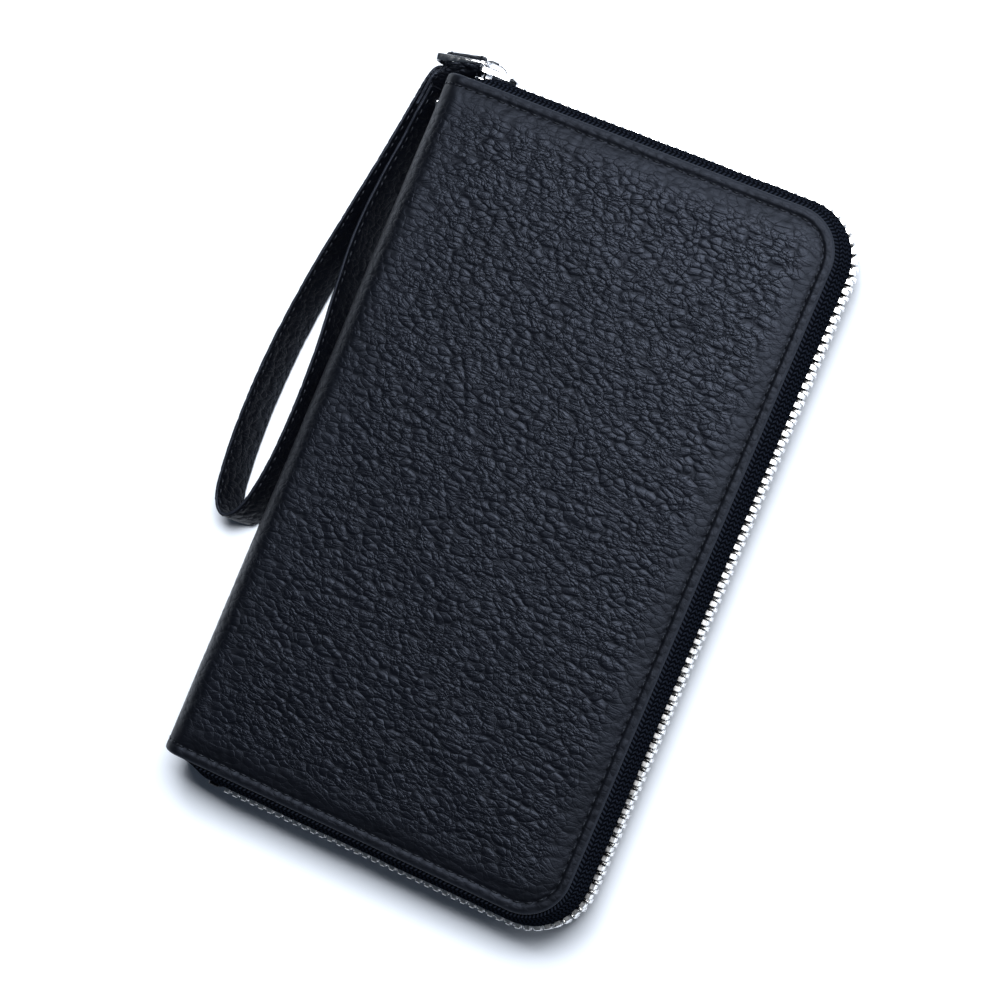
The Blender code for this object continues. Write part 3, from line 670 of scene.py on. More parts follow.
def build_skin():
    u, low_half, high_half = skin_columns()
    share = graded(2 * HALF, 0.7 * MM, 0.45 * MM, 6 * MM, 6 * MM) / HALF - 1
    across = np.broadcast_to(u, (len(share), len(u)))
    y = np.where(share[:, None] > 0, share[:, None] * high_half[None, :], share[:, None] * low_half[None, :])
    points, _ = skin(across, y, relief(across, y))
    rows, columns = across.shape
    index = np.arange(rows * columns).reshape(rows, columns)
    border = np.concatenate([index[0, :-1], index[:-1, -1], index[-1, :0:-1], index[:0:-1, 0]])
    flat_u, flat_y = across.ravel(), y.ravel()
    rings, places = edge_rings(flat_u[border], flat_y[border])
    faces = grid_faces(rows, columns)
    count, last, start = len(border), border, rows * columns
    for k in range(len(rings)):
        now = start + k * count + np.arange(count)
        for i in range(count):
            j = (i + 1) % count
            faces.append((int(last[j]), int(last[i]), int(now[i]), int(now[j])))
        last = now
    all_points = np.concatenate([points.reshape(-1, 3)] + rings)
    uv = np.concatenate([np.stack([flat_u, flat_y], 1)] + places)
    obj = mesh_object("outer_leather_skin", all_points, faces, uv)
    d = edge_distance(uv[:, 0], uv[:, 1])
    amount = 0.3 + 0.7 * smoothstep(d, 3.4 * MM, 13 * MM)
    amount *= 0.72 + 0.28 * smoothstep(np.abs(uv[:, 0]), U_SEAM, U_SEAM + 14 * MM)
    # Share of the lighter rim colour: edge paint and a painted highlight along the turned edge.
    rim_paint_and_highlight_share = 1 - smoothstep(d, 0.25 * MM, 0.75 * MM)
    for name, value in (("grain", amount * (1 - rim_paint_and_highlight_share)), ("edge", rim_paint_and_highlight_share)):
        mask = obj.data.attributes.new(name, "FLOAT", "POINT")
        mask.data.foreach_set("value", value.astype(np.float32))
    return emboss(obj, SKIN_EMBOSS)


def emboss(obj, depth, size=1.0, masked=True):
    """Presses the grain into the mesh itself, with the same nodes that the shader uses."""
    tree = bpy.data.node_groups.new(obj.name + "_grain", "GeometryNodeTree")
    tree.interface.new_socket("Geometry", in_out="INPUT", socket_type="NodeSocketGeometry")
    tree.interface.new_socket("Geometry", in_out="OUTPUT", socket_type="NodeSocketGeometry")
    entry, result = tree.nodes.new("NodeGroupInput"), tree.nodes.new("NodeGroupOutput")
    uv = node(tree, "GeometryNodeInputNamedAttribute", {"Name": "UVMap"}, data_type="FLOAT_VECTOR")
    place = vector_node(tree, "MULTIPLY", uv.outputs[0], (UV_UNIT / MM, UV_UNIT / MM, 0))
    height = math_node(tree, "SUBTRACT", grain_height(tree, place, size), 0.9)
    if masked:
        named = node(tree, "GeometryNodeInputNamedAttribute", {"Name": "grain"}, data_type="FLOAT")
        height = math_node(tree, "MULTIPLY", height, named.outputs[0])
    height = math_node(tree, "MULTIPLY", height, depth)
    normal = node(tree, "GeometryNodeInputNormal").outputs[0]
    scaled = node(tree, "ShaderNodeVectorMath", {0: normal, "Scale": height}, operation="SCALE")
    move = node(tree, "GeometryNodeSetPosition", {"Geometry": entry.outputs[0], "Offset": scaled.outputs[0]})
    tree.links.new(move.outputs[0], result.inputs[0])
    modifier = obj.modifiers.new("grain", "NODES")
    modifier.node_group = tree
    graph = bpy.context.evaluated_depsgraph_get()
    made = bpy.data.meshes.new_from_object(obj.evaluated_get(graph))
    obj.modifiers.clear()
    obj.data = made
    return obj


def cover_stitch_places():
    places = []
    for side in (-1, 1):
        for end in (-1, 1):
            for k in range(STITCHES):
                w, v, (du, dv) = seam_point((k + 0.5) * PITCH, side, end)
                u, y = np.array([side * w]), np.array([end * v])
                step = 1e-4
                here, normal = skin(u, y, relief(u, y) + 0.02 * MM)
                ahead, _ = skin(u + side * du * step, y + end * dv * step)
                plain, _ = skin(u, y)
                along = (ahead - plain)[0]
                places.append((here[0], along / np.linalg.norm(along), normal[0]))
    return places


def build_covers():
    leather_skin = build_skin()
    place_piece(leather_skin, None, OUTER)
    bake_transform(leather_skin)
    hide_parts("back_cover_leather", "spine_leather", "front_cover_leather")
    thread = stitching("cover_stitching", cover_stitch_places(), None)
    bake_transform(thread)
    paint(BOARD, "back_cover_board", "front_cover_board")


# Zip round three sides --------------------


def rim(distance, start, offset):
    """The cover edge's point, the way out and the way along, at a distance down the zip's line."""
    bend = (CORNER + offset) * math.pi / 2
    point, facing = Vector((start, HALF, 0)), math.pi / 2
    for length in (RIGHT - CORNER - start, bend, 2 * V_BEND, bend, math.inf):
        step = min(distance, length)
        out = compass(facing)
        if length == bend:
            facing -= step / (CORNER + offset)
            point += CORNER * (compass(facing) - out)
        else:
            point += Vector((out.y, -out.x, 0)) * step
        distance -= step
        if distance <= 0:
            break
    out = compass(facing)
    return point, out, Vector((out.y, -out.x, 0))


def rim_length(start, offset):
    return 2 * (RIGHT - CORNER - start) + (CORNER + offset) * math.pi + 2 * V_BEND


def tape_profile():
    """(out, up, distance down the tape) round the back tape's section, outer face first."""
    line = [(-6.5 * MM, TAPE_SEWN), (0, TAPE_SEWN), (1.5 * MM, TAPE_SEWN + 1.4 * MM)]
    line += [(2.5 * MM, TAPE_SEWN + 4.2 * MM), (LINE_OUT - 0.3 * MM, ROW_BACK - 0.25 * MM)]
    line = curve_through([(n, z, 0) for n, z in line], 16)
    outer, inner = [], []
    run = 0.0
    for i, p in enumerate(line):
        before, after = line[max(i - 1, 0)], line[min(i + 1, len(line) - 1)]
        along = (after - before).normalized()
        away = Vector((along.y, -along.x, 0)) * TAPE / 2
        run += (p - line[i - 1]).length if i else 0
        outer.append((*(p + away).to_2d(), run))
        inner.append((*(p - away).to_2d(), run))
    return outer + inner[::-1]


def build_tape(side, front):
    profile = tape_profile()
    length = rim_length(TAPE_START, LINE_OUT)
    stations = np.linspace(0, length, round(length / (1.1 * MM)))
    points, uv = [], []
    for s in stations:
        point, out, _ = rim(s, TAPE_START, LINE_OUT)
        for n, z, run in profile:
            free = float(smoothstep(z, TAPE_SEWN, 5 * MM) * (1 - smoothstep(z, 7 * MM, 9 * MM)))
            wave = 0.18 * MM * free * float(wander(s / (6 * MM), front * 9.0, 12))
            height = TOP - z if front else z
            from_end = min(s, length - s)
            n = n * (0.1 + 0.9 * float(smoothstep(from_end, 0, TAPE_TAPER))) if n > 0 else n
            points.append(point + out * (n + wave) + Vector((0, 0, height)))
            uv.append((s, run))
    faces = swept_faces(len(stations), len(profile))
    obj = mesh_object(f"{side}_tape_cloth", points, faces, uv, sharp=60)
    body = "front_cover" if front else "root"
    return place_piece(obj, body, TAPE_CLOTH, [f"{side}_zip_tape"])


def tooth(width, depth, reach):
    """One tooth in its own axes, along, out and up: legs on the tape, a neck and a hooked head."""
    half = [(0.5, 0), (0.53, 0.1), (0.53, 0.4), (0.36, 0.52), (0.37, 0.6), (0.47, 0.72), (0.44, 0.9)]
    half = [(a * width, h * reach) for a, h in half] + [(0.22 * width, reach)]
    outline = np.array(half + [(-a, h) for a, h in reversed(half)])
    middle = np.array([0, reach / 2])
    points = []
    layers = ((0, 0.9), (0.05, 0.98), (0.12, 1), (0.88, 1), (0.95, 0.98), (1, 0.9))
    for out, scale in layers:
        layer = middle + (outline - middle) * scale
        points += [(a, out * depth - depth / 2, h) for a, h in layer]
    return np.array(points), swept_faces(len(layers), len(outline))


def tooth_row(name, places, shape, body, replaced):
    """A row of teeth from (middle of the root, along, out, up) places."""
    base, base_faces = shape
    solids = []
    for root, along, out, up in places:
        tilt = RNG.normal(0, 0.025, 2)
        turn = np.array([along + out * tilt[0], out + along * tilt[1], up])
        solids.append((root + base @ turn, base_faces))
    obj = mesh_object(name, *gather(*solids), sharp=35)
    return place_piece(obj, body, TEETH, [replaced])


def build_teeth(side, front):
    length = rim_length(TOOTH_START, LINE_OUT)
    count = int(length / TOOTH_PITCH)
    shift = 0.75 if front else 0.25
    root = ROW_BACK - TOOTH_FOOT
    reach = MIDDLE + TOOTH_HOOK - root
    places = []
    for k in range(count):
        point, out, along = rim((k + shift) * TOOTH_PITCH, TOOTH_START, LINE_OUT)
        height = TOP - root if front else root
        up = Vector((0, 0, -1 if front else 1))
        proud = TEETH_PROUD * (1 - 3 * max(out.y, 0))
        place = point + out * (LINE_OUT + proud) + Vector((0, 0, height))
        places.append([np.array(v) for v in (place, along, out, up)])
    body = "front_cover" if front else "root"
    shape = tooth(TOOTH_WIDTH, TEETH_DEPTH, reach)
    tooth_row(f"{side}_metal_teeth", places, shape, body, f"{side}_zip_teeth")


# Slider and ring --------------------


def pillow_plate(outline, low, high, edge):
    """A plate between two heights with rounded rims: (points in outline axes, faces)."""
    ring = np.array(outline)
    middle = ring.mean(0)
    size = np.abs(ring - middle).max()
    quarter = np.radians([0, 30, 60, 90])
    layers = [(low, 1, turn) for turn in quarter] + [(high, -1, turn) for turn in quarter[::-1]]
    points = []
    for face, inward, turn in layers:
        inset = edge * (1 - math.sin(turn))
        rise = face + inward * edge * (1 - math.cos(turn))
        points += [(x, y, rise) for x, y in middle + (ring - middle) * (1 - inset / size)]
    return points, swept_faces(len(layers), len(ring))


def build_slider():
    half = [(5.4, 2.9), (4.4, 3.9), (2, 4.15), (-1, 4.35), (-3.8, 4.8), (-5, 4.1), (-5.4, 2.2)]
    outline = mirrored([(SLIDER_X + x * MM, MIDDLE + z * MM) for x, z in half])
    low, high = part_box("slider_body")
    solids = [pillow_plate(outline, high.y - SLIDER_PLATE, high.y, PLATE_RIM)]
    solids.append(pillow_plate(outline, low.y, low.y + SLIDER_PLATE, PLATE_RIM))
    wedge = [(-3, 0), (-2, -1), (-0.6, 0), (-2, 1)]
    wedge = [(SLIDER_X - 1.2 * MM + x * MM, MIDDLE + z * MM) for x, z in wedge]
    solids.append(pillow_plate(wedge, low.y + 0.3 * MM, high.y - 0.3 * MM, 0.05 * MM))
    for sign in (-1, 1):
        edge = [(x, MIDDLE + sign * (z - MIDDLE)) for x, z in outline[4:18]]
        inner = [(x, MIDDLE + (z - MIDDLE) * 0.86) for x, z in reversed(edge)]
        solids.append(pillow_plate(edge + inner, high.y - 1.5 * MM, high.y - 0.3 * MM, 0.04 * MM))
    points, faces = gather(*solids)
    points = [(x, up, z) for x, z, up in points]
    chrome_piece("slider_shell", (points, faces), "slider", "slider_body", 50)
    paint(CHROME, "slider_lock_spring")
    # Painted shade: the end stop is coloured near black to look dark in the opening at the spine's end.
    paint(PAINTED_SHADE_METAL, "zip_end_stop")


def band(line, normals, across, width, thickness, ring=False, sides=16, power=4.0):
    """A strip of metal: a rounded section swept down a line. There is one width for each place."""
    points = []
    turn = np.linspace(0, 2 * math.pi, sides, endpoint=False) + math.pi / sides
    for p, n, w in zip(line, normals, width):
        for a in turn:
            c, s = math.cos(a), math.sin(a)
            c = math.copysign(abs(c) ** (2 / power), c)
            s = math.copysign(abs(s) ** (2 / power), s)
            points.append(np.array(p) + np.array(across) * w * c + np.array(n) * thickness * s)
    if not ring:
        return points, swept_faces(len(line), sides)
    faces = grid_faces(len(line), sides, around=True)
    last = len(points) - sides
    faces += [(last + j, last + (j + 1) % sides, (j + 1) % sides, j) for j in range(sides)]
    return points, faces


def build_bridge():
    low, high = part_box("slider_bridge")
    foot, crown, half = low.y, high.y - 0.42 * MM, (high.z - low.z) / 2
    line = [(low.x + 0.5 * MM, foot), (low.x + 0.7 * MM, foot + 1.1 * MM)]
    line += [(low.x + 2.1 * MM, crown), (SLIDER_X - 1 * MM, crown), (high.x - 2.6 * MM, crown - 0.2 * MM)]
    line += [(high.x - 1.1 * MM, foot + 0.9 * MM), (high.x - 0.6 * MM, foot)]
    steps = 30
    line = curve_through([(x, y, MIDDLE) for x, y in line], steps)
    normals, width = [], []
    for i in range(steps + 1):
        along = (line[min(i + 1, steps)] - line[max(i - 1, 0)]).normalized()
        normals.append(Vector((-along.y, along.x, 0)))
        width.append(half * (0.86 + 0.14 * math.cos(math.pi * (2 * i / steps - 1))))
    arch = band(line, normals, (0, 0, 1), width, 0.38 * MM)
    chrome_piece("slider_arch", arch, "slider", "slider_bridge", 70)


def ring_frame():
    out = -compass(RING_ANGLE)
    up = Vector((0, 0, 1))
    turn = Matrix((out, up, out.cross(up))).transposed().to_4x4()
    return Matrix.Translation(RING_PIVOT) @ turn


def build_ring():
    place = ring_frame()
    radius, half = 1.3 * MM, RING_HEIGHT / 2
    corners = [
        (RING_LENGTH - radius, half - radius, 0, 90, 1.0, 1.0),
        (radius, half - radius, 90, 180, 0.5, 0.5),
        (radius, radius - half, 180, 270, 0.5, 0.6),
        (RING_LENGTH - radius, radius - half, 270, 360, 0.6, 1.0),
    ]
    line, normals, width = [], [], []
    for cx, cy, start, end, first, last in corners:
        for i in range(9):
            out = compass(math.radians(start + (end - start) * i / 8))
            line.append(place @ (Vector((cx, cy, 0)) + out * radius))
            normals.append(place.to_3x3() @ out)
            width.append((first + (last - first) * i / 8) * MM)
    across = place.to_3x3() @ Vector((0, 0, 1))
    solid = band(line, normals, across, width, RING_BAND, ring=True, power=7.0)
    chrome_piece("flat_ring", solid, "ring", "strap_ring", 80)


# Wrist strap --------------------


def width_direction(turn):
    share = min(turn / STRAP_LEAN, 1)
    flat = -compass(RING_ANGLE * (1 - share))
    return flat * math.cos(turn) + Vector((0, 0, 1)) * math.sin(turn)


def twist_stations(count):
    """(place, width direction, face normal) from the ring's bar down to the tail's end."""
    bar = ring_frame() @ Vector((STRAP_AT_BAR, -RING_HEIGHT / 2, 0))
    lean = math.degrees(STRAP_LEAN)
    core = [(tuple(bar / MM), 0), ((-61.9, 102.6, 9.3), 12), ((-63.3, 100.7, 8.7), 34)]
    core += [((-65.1, 98.4, 7.8), 52), ((-66.4, 95.6, 6.9), lean - 3)]
    core += [((-67.2, 92.2, 6.3), lean), ((-67.8, 88.2, 6.25), lean)]
    places = curve_through([Vector(p) * MM for p, _ in core], count)
    turns = [v.x for v in curve_through([Vector((math.radians(t), 0, 0)) for _, t in core], count)]
    found = []
    for i, place in enumerate(places):
        along = (places[min(i + 1, count)] - places[max(i - 1, 0)]).normalized()
        across = width_direction(turns[i])
        found.append((place, across, across.cross(along).normalized()))
    return found


STRAP_ROUTE = [(-67.6, 80), (-69.2, 66), (-69.9, 50), (-68.6, 33), (-66.9, 15), (-66.4, -4)]
STRAP_ROUTE += [(-67.2, -20), (-69.6, -31.5), (-73.6, -35.6), (-77.4, -31.5), (-79.3, -20)]
STRAP_ROUTE += [(-80.1, -3), (-79.5, 16), (-77.4, 36), (-74.4, 55), (-71.6, 72)]


def strap_rails():
    """(middle, width direction, face normal) from the end at the rivet, round the loop, through
    the ring and back down as the folded tail."""
    twist = twist_stations(TWIST)
    lean = width_direction(STRAP_LEAN)
    bar_clear = BAR_SPACE + STRAP_T / 2
    rails = []
    for i in range(9 * FINER, TWIST + 1, 2):
        place, across, normal = twist[i]
        rails.append((place + normal * STRAP_LAYER, across, normal))
    finish = twist[TWIST][0] - twist[TWIST][2] * STRAP_LAYER
    middle = [(x, y, STRAP_Z / MM) for x, y in STRAP_ROUTE]
    route = [tuple(rails[-1][0] / MM)] + middle + [tuple(finish / MM)]
    curve = curve_through([Vector(p) * MM for p in route], 260)
    for i in range(1, len(curve) - 1):
        along = (curve[i + 1] - curve[i - 1]).normalized()
        rails.append((curve[i], lean, lean.cross(along).normalized()))
    for place, across, normal in reversed(twist[1:]):
        rails.append((place - normal * STRAP_LAYER, across, -normal))
    place, across, normal = twist[0]
    back = normal.cross(across)
    for a in np.linspace(0, math.pi, 17).tolist():
        offset = normal * -math.cos(a) + back * -math.sin(a)
        loose = back * -math.sin(a) * FOLD_SLACK
        rails.append((place + offset * bar_clear + loose, across, offset))
    for i in range(1, 14 * FINER + 1):
        place, across, normal = twist[i]
        share = min(max((i / FINER - 1) / 5, 0), 1)
        lift = bar_clear * (1 - share * share * (3 - 2 * share))
        rails.append((place + normal * lift, across, normal))
    return rails


STRAP_STITCH = 1.35 * MM  # in from each edge
STRAP_PITCH = 2.9 * MM
STRAP_EMBOSS = 0.16 * MM


def strap_half_thickness(w):
    """Two plies with painted, rounded edges and a pressed stitch line near each edge."""
    edge = np.clip(np.abs(w) / (STRAP_WIDTH / 2), 0, 1)
    rounded = (1 - edge**16) ** 0.5
    groove = np.exp(-(((np.abs(w) - (STRAP_WIDTH / 2 - STRAP_STITCH)) / (0.32 * MM)) ** 2))
    return STRAP_T / 2 * rounded * (0.93 + 0.07 * (1 - edge**2)) - 0.13 * MM * groove


def build_strap():
    rails = strap_rails()
    half = STRAP_WIDTH / 2
    shares = np.concatenate([[-1, -0.985, -0.95, -0.9], np.linspace(-0.86, 0.86, 19), [0.9, 0.95, 0.985, 1]])
    w = shares * half
    thick = strap_half_thickness(w)
    section = [(a, t) for a, t in zip(w, thick)] + [(a, -t) for a, t in zip(w[-2:0:-1], thick[-2:0:-1])]
    points, uv = [], []
    run = 0.0
    for i, (middle, across, normal) in enumerate(rails):
        run += (middle - rails[i - 1][0]).length if i else 0
        for a, t in section:
            points.append(middle + across * a + normal * t)
            uv.append((a + (40 * MM if t < 0 else 0), run))
    count = len(section)
    obj = mesh_object("wrist_strap_leather", points, swept_faces(len(rails), count), uv, sharp=70)
    clean(obj)
    emboss(obj, STRAP_EMBOSS, size=0.8, masked=False)
    place_piece(obj, "strap", [STRAP_LEATHER, EDGE], ["wrist_strap"])
    rim_faces = {j for j in range(count) if abs(section[j][0]) > 0.93 * half}
    for polygon in obj.data.polygons:
        if all(v % count in rim_faces for v in polygon.vertices):
            polygon.material_index = 1
    places = []
    distance, next_at = 0.0, 2 * MM
    for i in range(1, len(rails)):
        distance += (rails[i][0] - rails[i - 1][0]).length
        if distance < next_at:
            continue
        next_at += STRAP_PITCH
        middle, across, normal = rails[i]
        along = (rails[min(i + 1, len(rails) - 1)][0] - rails[i - 1][0]).normalized()
        for edge in (-1, 1):
            at = edge * (half - STRAP_STITCH)
            for face in (-1, 1):
                up = normal * face
                place = middle + across * at + up * float(strap_half_thickness(at))
                places.append((place, along, up))
    stitching("strap_stitching", places, "strap", length=2.0 * MM, scale=0.75)


def lathe(profile, place, steps=28):
    """A profile of (radius, height) turned about a place's Z."""
    points = []
    for radius, height in profile:
        for k in range(steps):
            out = radius * compass(2 * math.pi * k / steps)
            points.append(place @ (out + Vector((0, 0, height))))
    return points, swept_faces(len(profile), steps)


def build_rivet():
    place, _, normal = twist_stations(TWIST)[12 * FINER]
    turn = normal.to_track_quat("Z", "Y").to_matrix().to_4x4()
    at = Matrix.Translation(place) @ turn
    face = STRAP_LAYER + STRAP_T / 2 + 0.02 * MM
    dome = [(1.5, -0.1), (1.68, 0.05), (1.7, 0.2), (1.6, 0.42), (1.3, 0.62), (0.8, 0.76), (0.3, 0.82)]
    dome = [(r * MM, face + h * MM) for r, h in dome]
    chrome_piece("rivet_cap", lathe(dome, at), "strap", "strap_rivet_cap", 60)
    foot = lathe([(r, -h) for r, h in dome], at)
    post = lathe([(0.8 * MM, -face), (0.8 * MM, face)], at, 16)
    chrome_piece("rivet_post", gather(foot, post), "strap", "strap_rivet_post", 60)


# Inside --------------------


PANEL_ROWS = 60


def soft_panel(name, node_name, corner, body, made, sag=0.06 * MM):
    """A thin panel with rounded rims, rounded at its mouth corners, in its CAD node's place."""
    low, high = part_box(node_name)
    middle, half_t = (low.z + high.z) / 2, (high.z - low.z) / 2
    half, bend = high.y, high.x - corner
    turned = bend + corner * np.sin(np.linspace(0, math.pi / 2, 9)[1:])
    across = np.concatenate([np.linspace(low.x, bend, 30), turned])
    rounded = np.sqrt(np.clip(corner**2 - (across - bend) ** 2, 0, None))
    reach = np.where(across > bend, half - corner + rounded, half)
    share = np.sin(np.linspace(-math.pi / 2, math.pi / 2, PANEL_ROWS))
    x = np.broadcast_to(across, (PANEL_ROWS, len(across)))
    y = share[:, None] * reach[None, :]
    gap = np.minimum(np.minimum(high.x - x, x - low.x), reach[None, :] - np.abs(y))
    round_off = np.sqrt(1 - (1 - np.clip(gap / half_t, 0, 1)) ** 2)
    ripple = sag * wander(x / (17 * MM) + 3, y / (21 * MM) + 30, 21) * smoothstep(gap, 0, 8 * MM)
    top = np.stack([x, y, middle + half_t * round_off + ripple], -1).reshape(-1, 3)
    under = np.stack([x, y, middle - half_t * round_off + ripple], -1).reshape(-1, 3)
    faces = grid_faces(PANEL_ROWS, len(across))
    below = [tuple(len(top) + i for i in reversed(face)) for face in faces]
    points = np.concatenate([top, under])
    obj = mesh_object(name, points, faces + below, points[:, :2])
    clean(obj, weld=True)
    return place_piece(obj, body, made, [node_name])


def panel_stitches(node_name, face, inset=1.6 * MM, pitch=3.0 * MM):
    """Places for a line of stitches down a panel's mouth edge, on the face towards the middle."""
    low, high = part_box(node_name)
    z = (high.z if face > 0 else low.z) + face * 0.02 * MM
    places = []
    for k in range(int((high.y - low.y - 8 * MM) / pitch)):
        y = low.y + 4 * MM + (k + 0.5) * pitch
        places.append(((high.x - inset, y, z), (0, 1, 0), (0, 0, face)))
    return places


def build_inside():
    for side, body, face in (("back", "root", 1), ("front", "front_cover", -1)):
        soft_panel(f"{side}_lining_cloth", f"{side}_lining", 12 * MM, body, LINING)
        places = []
        for k in range(1, 5):
            name = f"{side}_card_pocket_{k}"
            soft_panel(f"{side}_pocket_leaf_{k}", name, 2 * MM, body, INNER, 0.03 * MM)
            places += panel_stitches(name, face)
        stitching(f"{side}_pocket_stitching", places, body, length=2.1 * MM, scale=0.5)


def build_coin_pocket():
    """A flat bag open at the mouth: its walls draw together at both sewn ends."""
    wall = 0.5 * MM
    fold = 0.94  # the share of the width at which the walls begin to close
    share = np.sin(np.linspace(-math.pi / 2, math.pi / 2, 70))
    points, uv = [], []
    width = coin_high.x - coin_low.x
    bend = fold + (1 - fold) * np.sin(np.linspace(0, math.pi / 2, 8)[1:])
    places = np.concatenate([np.linspace(0, fold, 34), bend])
    for v in share:
        y = v * coin_high.y
        full = (1 - abs(v) ** 14) ** 0.5
        for inner in (0, 1):
            half_z = max((coin_high.z - MIDDLE) * full - inner * wall, 0.02 * MM * (2 - inner))
            for sign, row in ((1, places), (-1, places[::-1])):
                for p in row:
                    x = coin_high.x - p * (width - inner * wall)
                    close = math.sqrt(max(1 - max((p - fold) / (1 - fold), 0) ** 2, 0))
                    lean = 0.12 * MM * float(wander(p * 6, v * 5 + 20, 31))
                    z = MIDDLE + sign * half_z * close + lean * min(1, full) * (1 - inner) * -sign * 0.5
                    points.append((x, y, z))
                    uv.append((p * width + (200 * MM if sign < 0 else 0), y))
    count = 2 * len(places)
    faces = []
    rows = len(share)
    for a in range(0, (rows - 1) * 2 * count, 2 * count):
        b = a + 2 * count
        faces += [(j, j + 1, b - a + j + 1, b - a + j) for j in range(a, a + count - 1)]
        faces += [(b - a + j, b - a + j + 1, j + 1, j) for j in range(a + count, b - 1)]
        faces += [(a + j, a + count + j, b + count + j, b + j) for j in (0, count - 1)]
    for a in (0, (rows - 1) * 2 * count):
        faces += [(j, j + 1, count + j + 1, count + j) for j in range(a, a + count - 1)]
    obj = mesh_object("coin_bag", points, faces, uv)
    clean(obj, weld=True)
    obj.data.set_sharp_from_angle(angle=math.radians(60))
    place_piece(obj, "coin_pocket", INNER, ["coin_pocket"])


def build_coin_zip():
    for side, sign in (("back", -1), ("front", 1)):
        name = f"coin_{side}_zip_tape"
        soft_panel(f"coin_{side}_tape_cloth", name, 0.3 * MM, "coin_pocket", TAPE_CLOTH, 0.0)
        low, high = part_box(f"coin_{side}_zip_teeth")
        root = high.z if sign > 0 else low.z
        reach = abs(root - MIDDLE) + 0.5 * MM
        shape = tooth(1.3 * MM, high.x - low.x, reach)
        places = []
        pitch = 2.6 * MM
        for k in range(int((high.y - low.y) / pitch)):
            y = high.y - (k + (0.75 if sign > 0 else 0.25)) * pitch
            place = np.array(((low.x + high.x) / 2, y, root))
            axes = np.array(((0, -1, 0), (1, 0, 0), (0, 0, -sign)), float)
            places.append((place, *axes))
        tooth_row(f"coin_{side}_metal_teeth", places, shape, "coin_pocket", f"coin_{side}_zip_teeth")


def build_coin_slider():
    low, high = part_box("coin_slider")
    y = (low.y + high.y) / 2
    half = [(4.0, 1.5), (2.6, 2.1), (-1, 2.3), (-3.2, 2.4), (-4.0, 1.6)]
    outline = mirrored([(y - a * MM, MIDDLE + b * MM) for a, b in half])
    face = low.x + 2.8 * MM
    solids = [pillow_plate(outline, face, face + 0.7 * MM, 0.25 * MM)]
    narrow = [(a, MIDDLE + (b - MIDDLE) * 0.62) for a, b in outline]
    solids.append(pillow_plate(narrow, low.x, low.x + 0.7 * MM, 0.25 * MM))
    post = [(y + 1.6 * MM, MIDDLE), (y + 2.5 * MM, MIDDLE - 0.6 * MM)]
    post += [(y + 3.4 * MM, MIDDLE), (y + 2.5 * MM, MIDDLE + 0.6 * MM)]
    solids.append(pillow_plate(post, low.x + 0.4 * MM, face + 0.3 * MM, 0.05 * MM))
    for sign in (-1, 1):
        ear = closed_smooth([(-1.1, 1.7), (1.1, 1.7), (1.1, 2.2), (-1.1, 2.2)], 3)
        ear = [(y + a * MM, MIDDLE + sign * b * MM) for a, b in ear]
        solids.append(pillow_plate(ear, face + 0.4 * MM, high.x, 0.12 * MM))
    points, faces = gather(*solids)
    points = [(up, a, b) for a, b, up in points]
    chrome_piece("coin_slider_shell", (points, faces), "coin_slider", "coin_slider", 50)


def build_coin_pull():
    low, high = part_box("coin_pull_tab")
    half = (high.z - low.z) / 2
    length = high.y - low.y
    outline = [(0, 0.75), (0.12, 0.95), (0.3, 0.7), (0.62, 0.8), (0.9, 1.0), (1.0, 0.62)]
    outline = mirrored([(high.y - a * length, MIDDLE + b * half) for a, b in outline])
    points, faces = pillow_plate(outline, low.x + 0.05 * MM, high.x - 0.05 * MM, 0.22 * MM)
    points = [(up, a, b) for a, b, up in points]
    chrome_piece("coin_pull_plate", (points, faces), "coin_pull", "coin_pull_tab", 50)


# Stage --------------------


FLOOR_HALF = 4.0
FLOOR_BELOW = 0.05 * MM
CAMERA_AWAY = 810.2 * MM


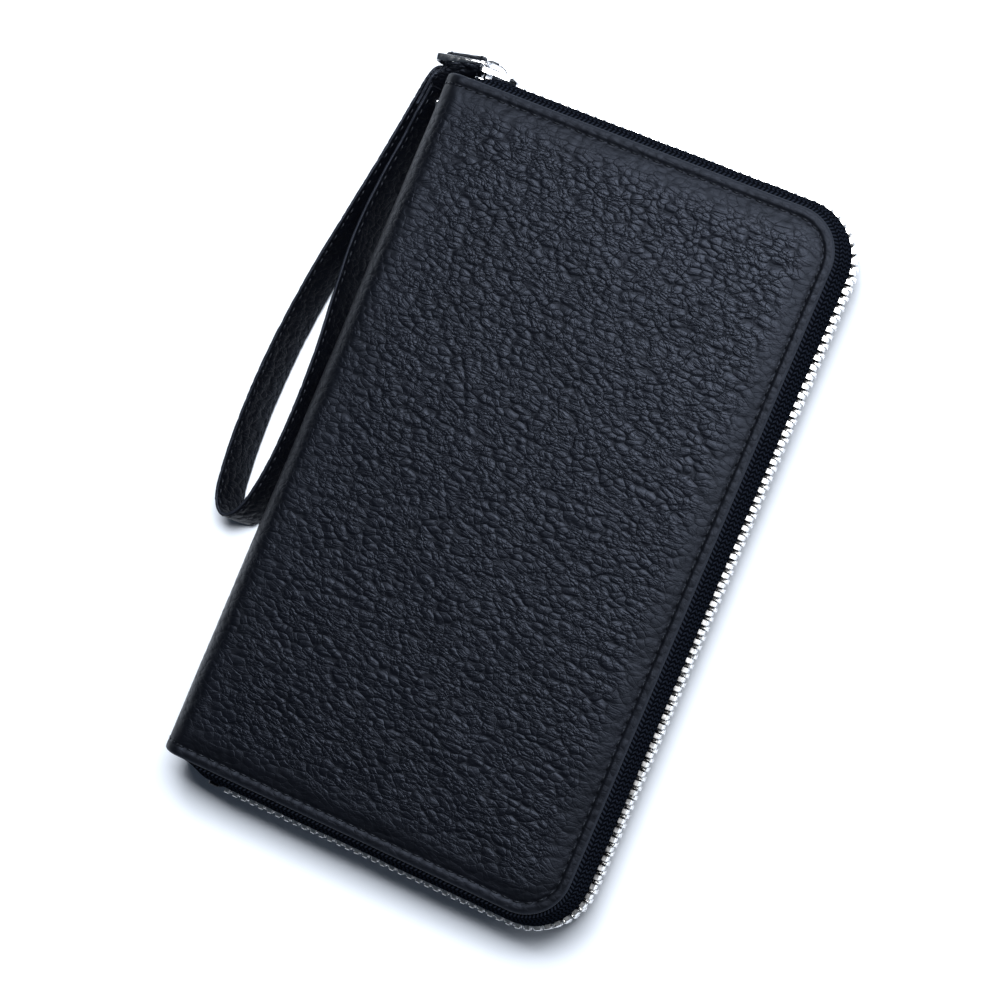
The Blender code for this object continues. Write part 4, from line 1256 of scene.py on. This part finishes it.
def build_stage():
    floor_made, _, _ = material("floor", (0.82, 0.88, 0.97), 0.9, Specular_IOR_Level=0.1)
    z = CAD_BOX[0].z - FLOOR_BELOW
    corners = [(x * FLOOR_HALF, y * FLOOR_HALF, z) for x, y in ((-1, -1), (1, -1), (1, 1), (-1, 1))]
    floor = mesh_object("floor", corners, [(0, 1, 2, 3)])
    floor.data.materials.append(floor_made)


def area_light(name, place, width, height, power):
    """A rectangular light that faces the wallet's middle."""
    data = bpy.data.lights.new(name, "AREA")
    data.shape = "RECTANGLE"
    data.size, data.size_y = width, height
    data.energy = power
    obj = add_object(name, data)
    obj.location = place
    obj.rotation_euler = (-obj.location).to_track_quat("-Z", "Y").to_euler()


def build_lights():
    world = bpy.data.worlds.new("studio")
    bpy.context.scene.world = world
    world.use_nodes = True
    background = world.node_tree.nodes["Background"]
    background.inputs["Color"].default_value = (0.66, 0.8, 1.0, 1)
    background.inputs["Strength"].default_value = 0.06
    key = Vector((0.05, 0.38, 0.92)).normalized()
    area_light("key", key * 0.9, width=0.66, height=0.36, power=15.5)
    area_light("side", Vector((0.8, 0.3, 0.5)), width=0.4, height=0.4, power=1.2)
    bpy.context.scene.view_settings.view_transform = "Standard"
    bpy.context.scene.view_settings.look = "None"


def build_camera():
    data = bpy.data.cameras.new("camera")
    data.sensor_width = 36
    data.lens = 108
    camera = add_object("camera", data)
    bpy.context.scene.camera = camera
    target = Vector((-3.4, -1.9, 12)) * MM
    azimuth, elevation, roll = math.radians(2.3), math.radians(74.4), math.radians(22.9)
    away = math.cos(elevation) * compass(azimuth) + Vector((0, 0, math.sin(elevation)))
    right = (-away).cross(Vector((0, 1, 0))).normalized()
    up = right.cross(-away)
    turned = math.cos(roll) * right + math.sin(roll) * up
    turned_up = math.cos(roll) * up - math.sin(roll) * right
    pose = Matrix((turned, turned_up, away)).transposed().to_4x4()
    camera.matrix_world = Matrix.Translation(target + away * CAMERA_AWAY) @ pose


build_camera()
build_covers()
for side, front in (("back", False), ("front", True)):
    build_tape(side, front)
    build_teeth(side, front)
build_slider()
build_bridge()
build_ring()
build_strap()
build_rivet()
build_inside()
build_coin_pocket()
build_coin_zip()
build_coin_slider()
build_coin_pull()
build_stage()
build_lights()
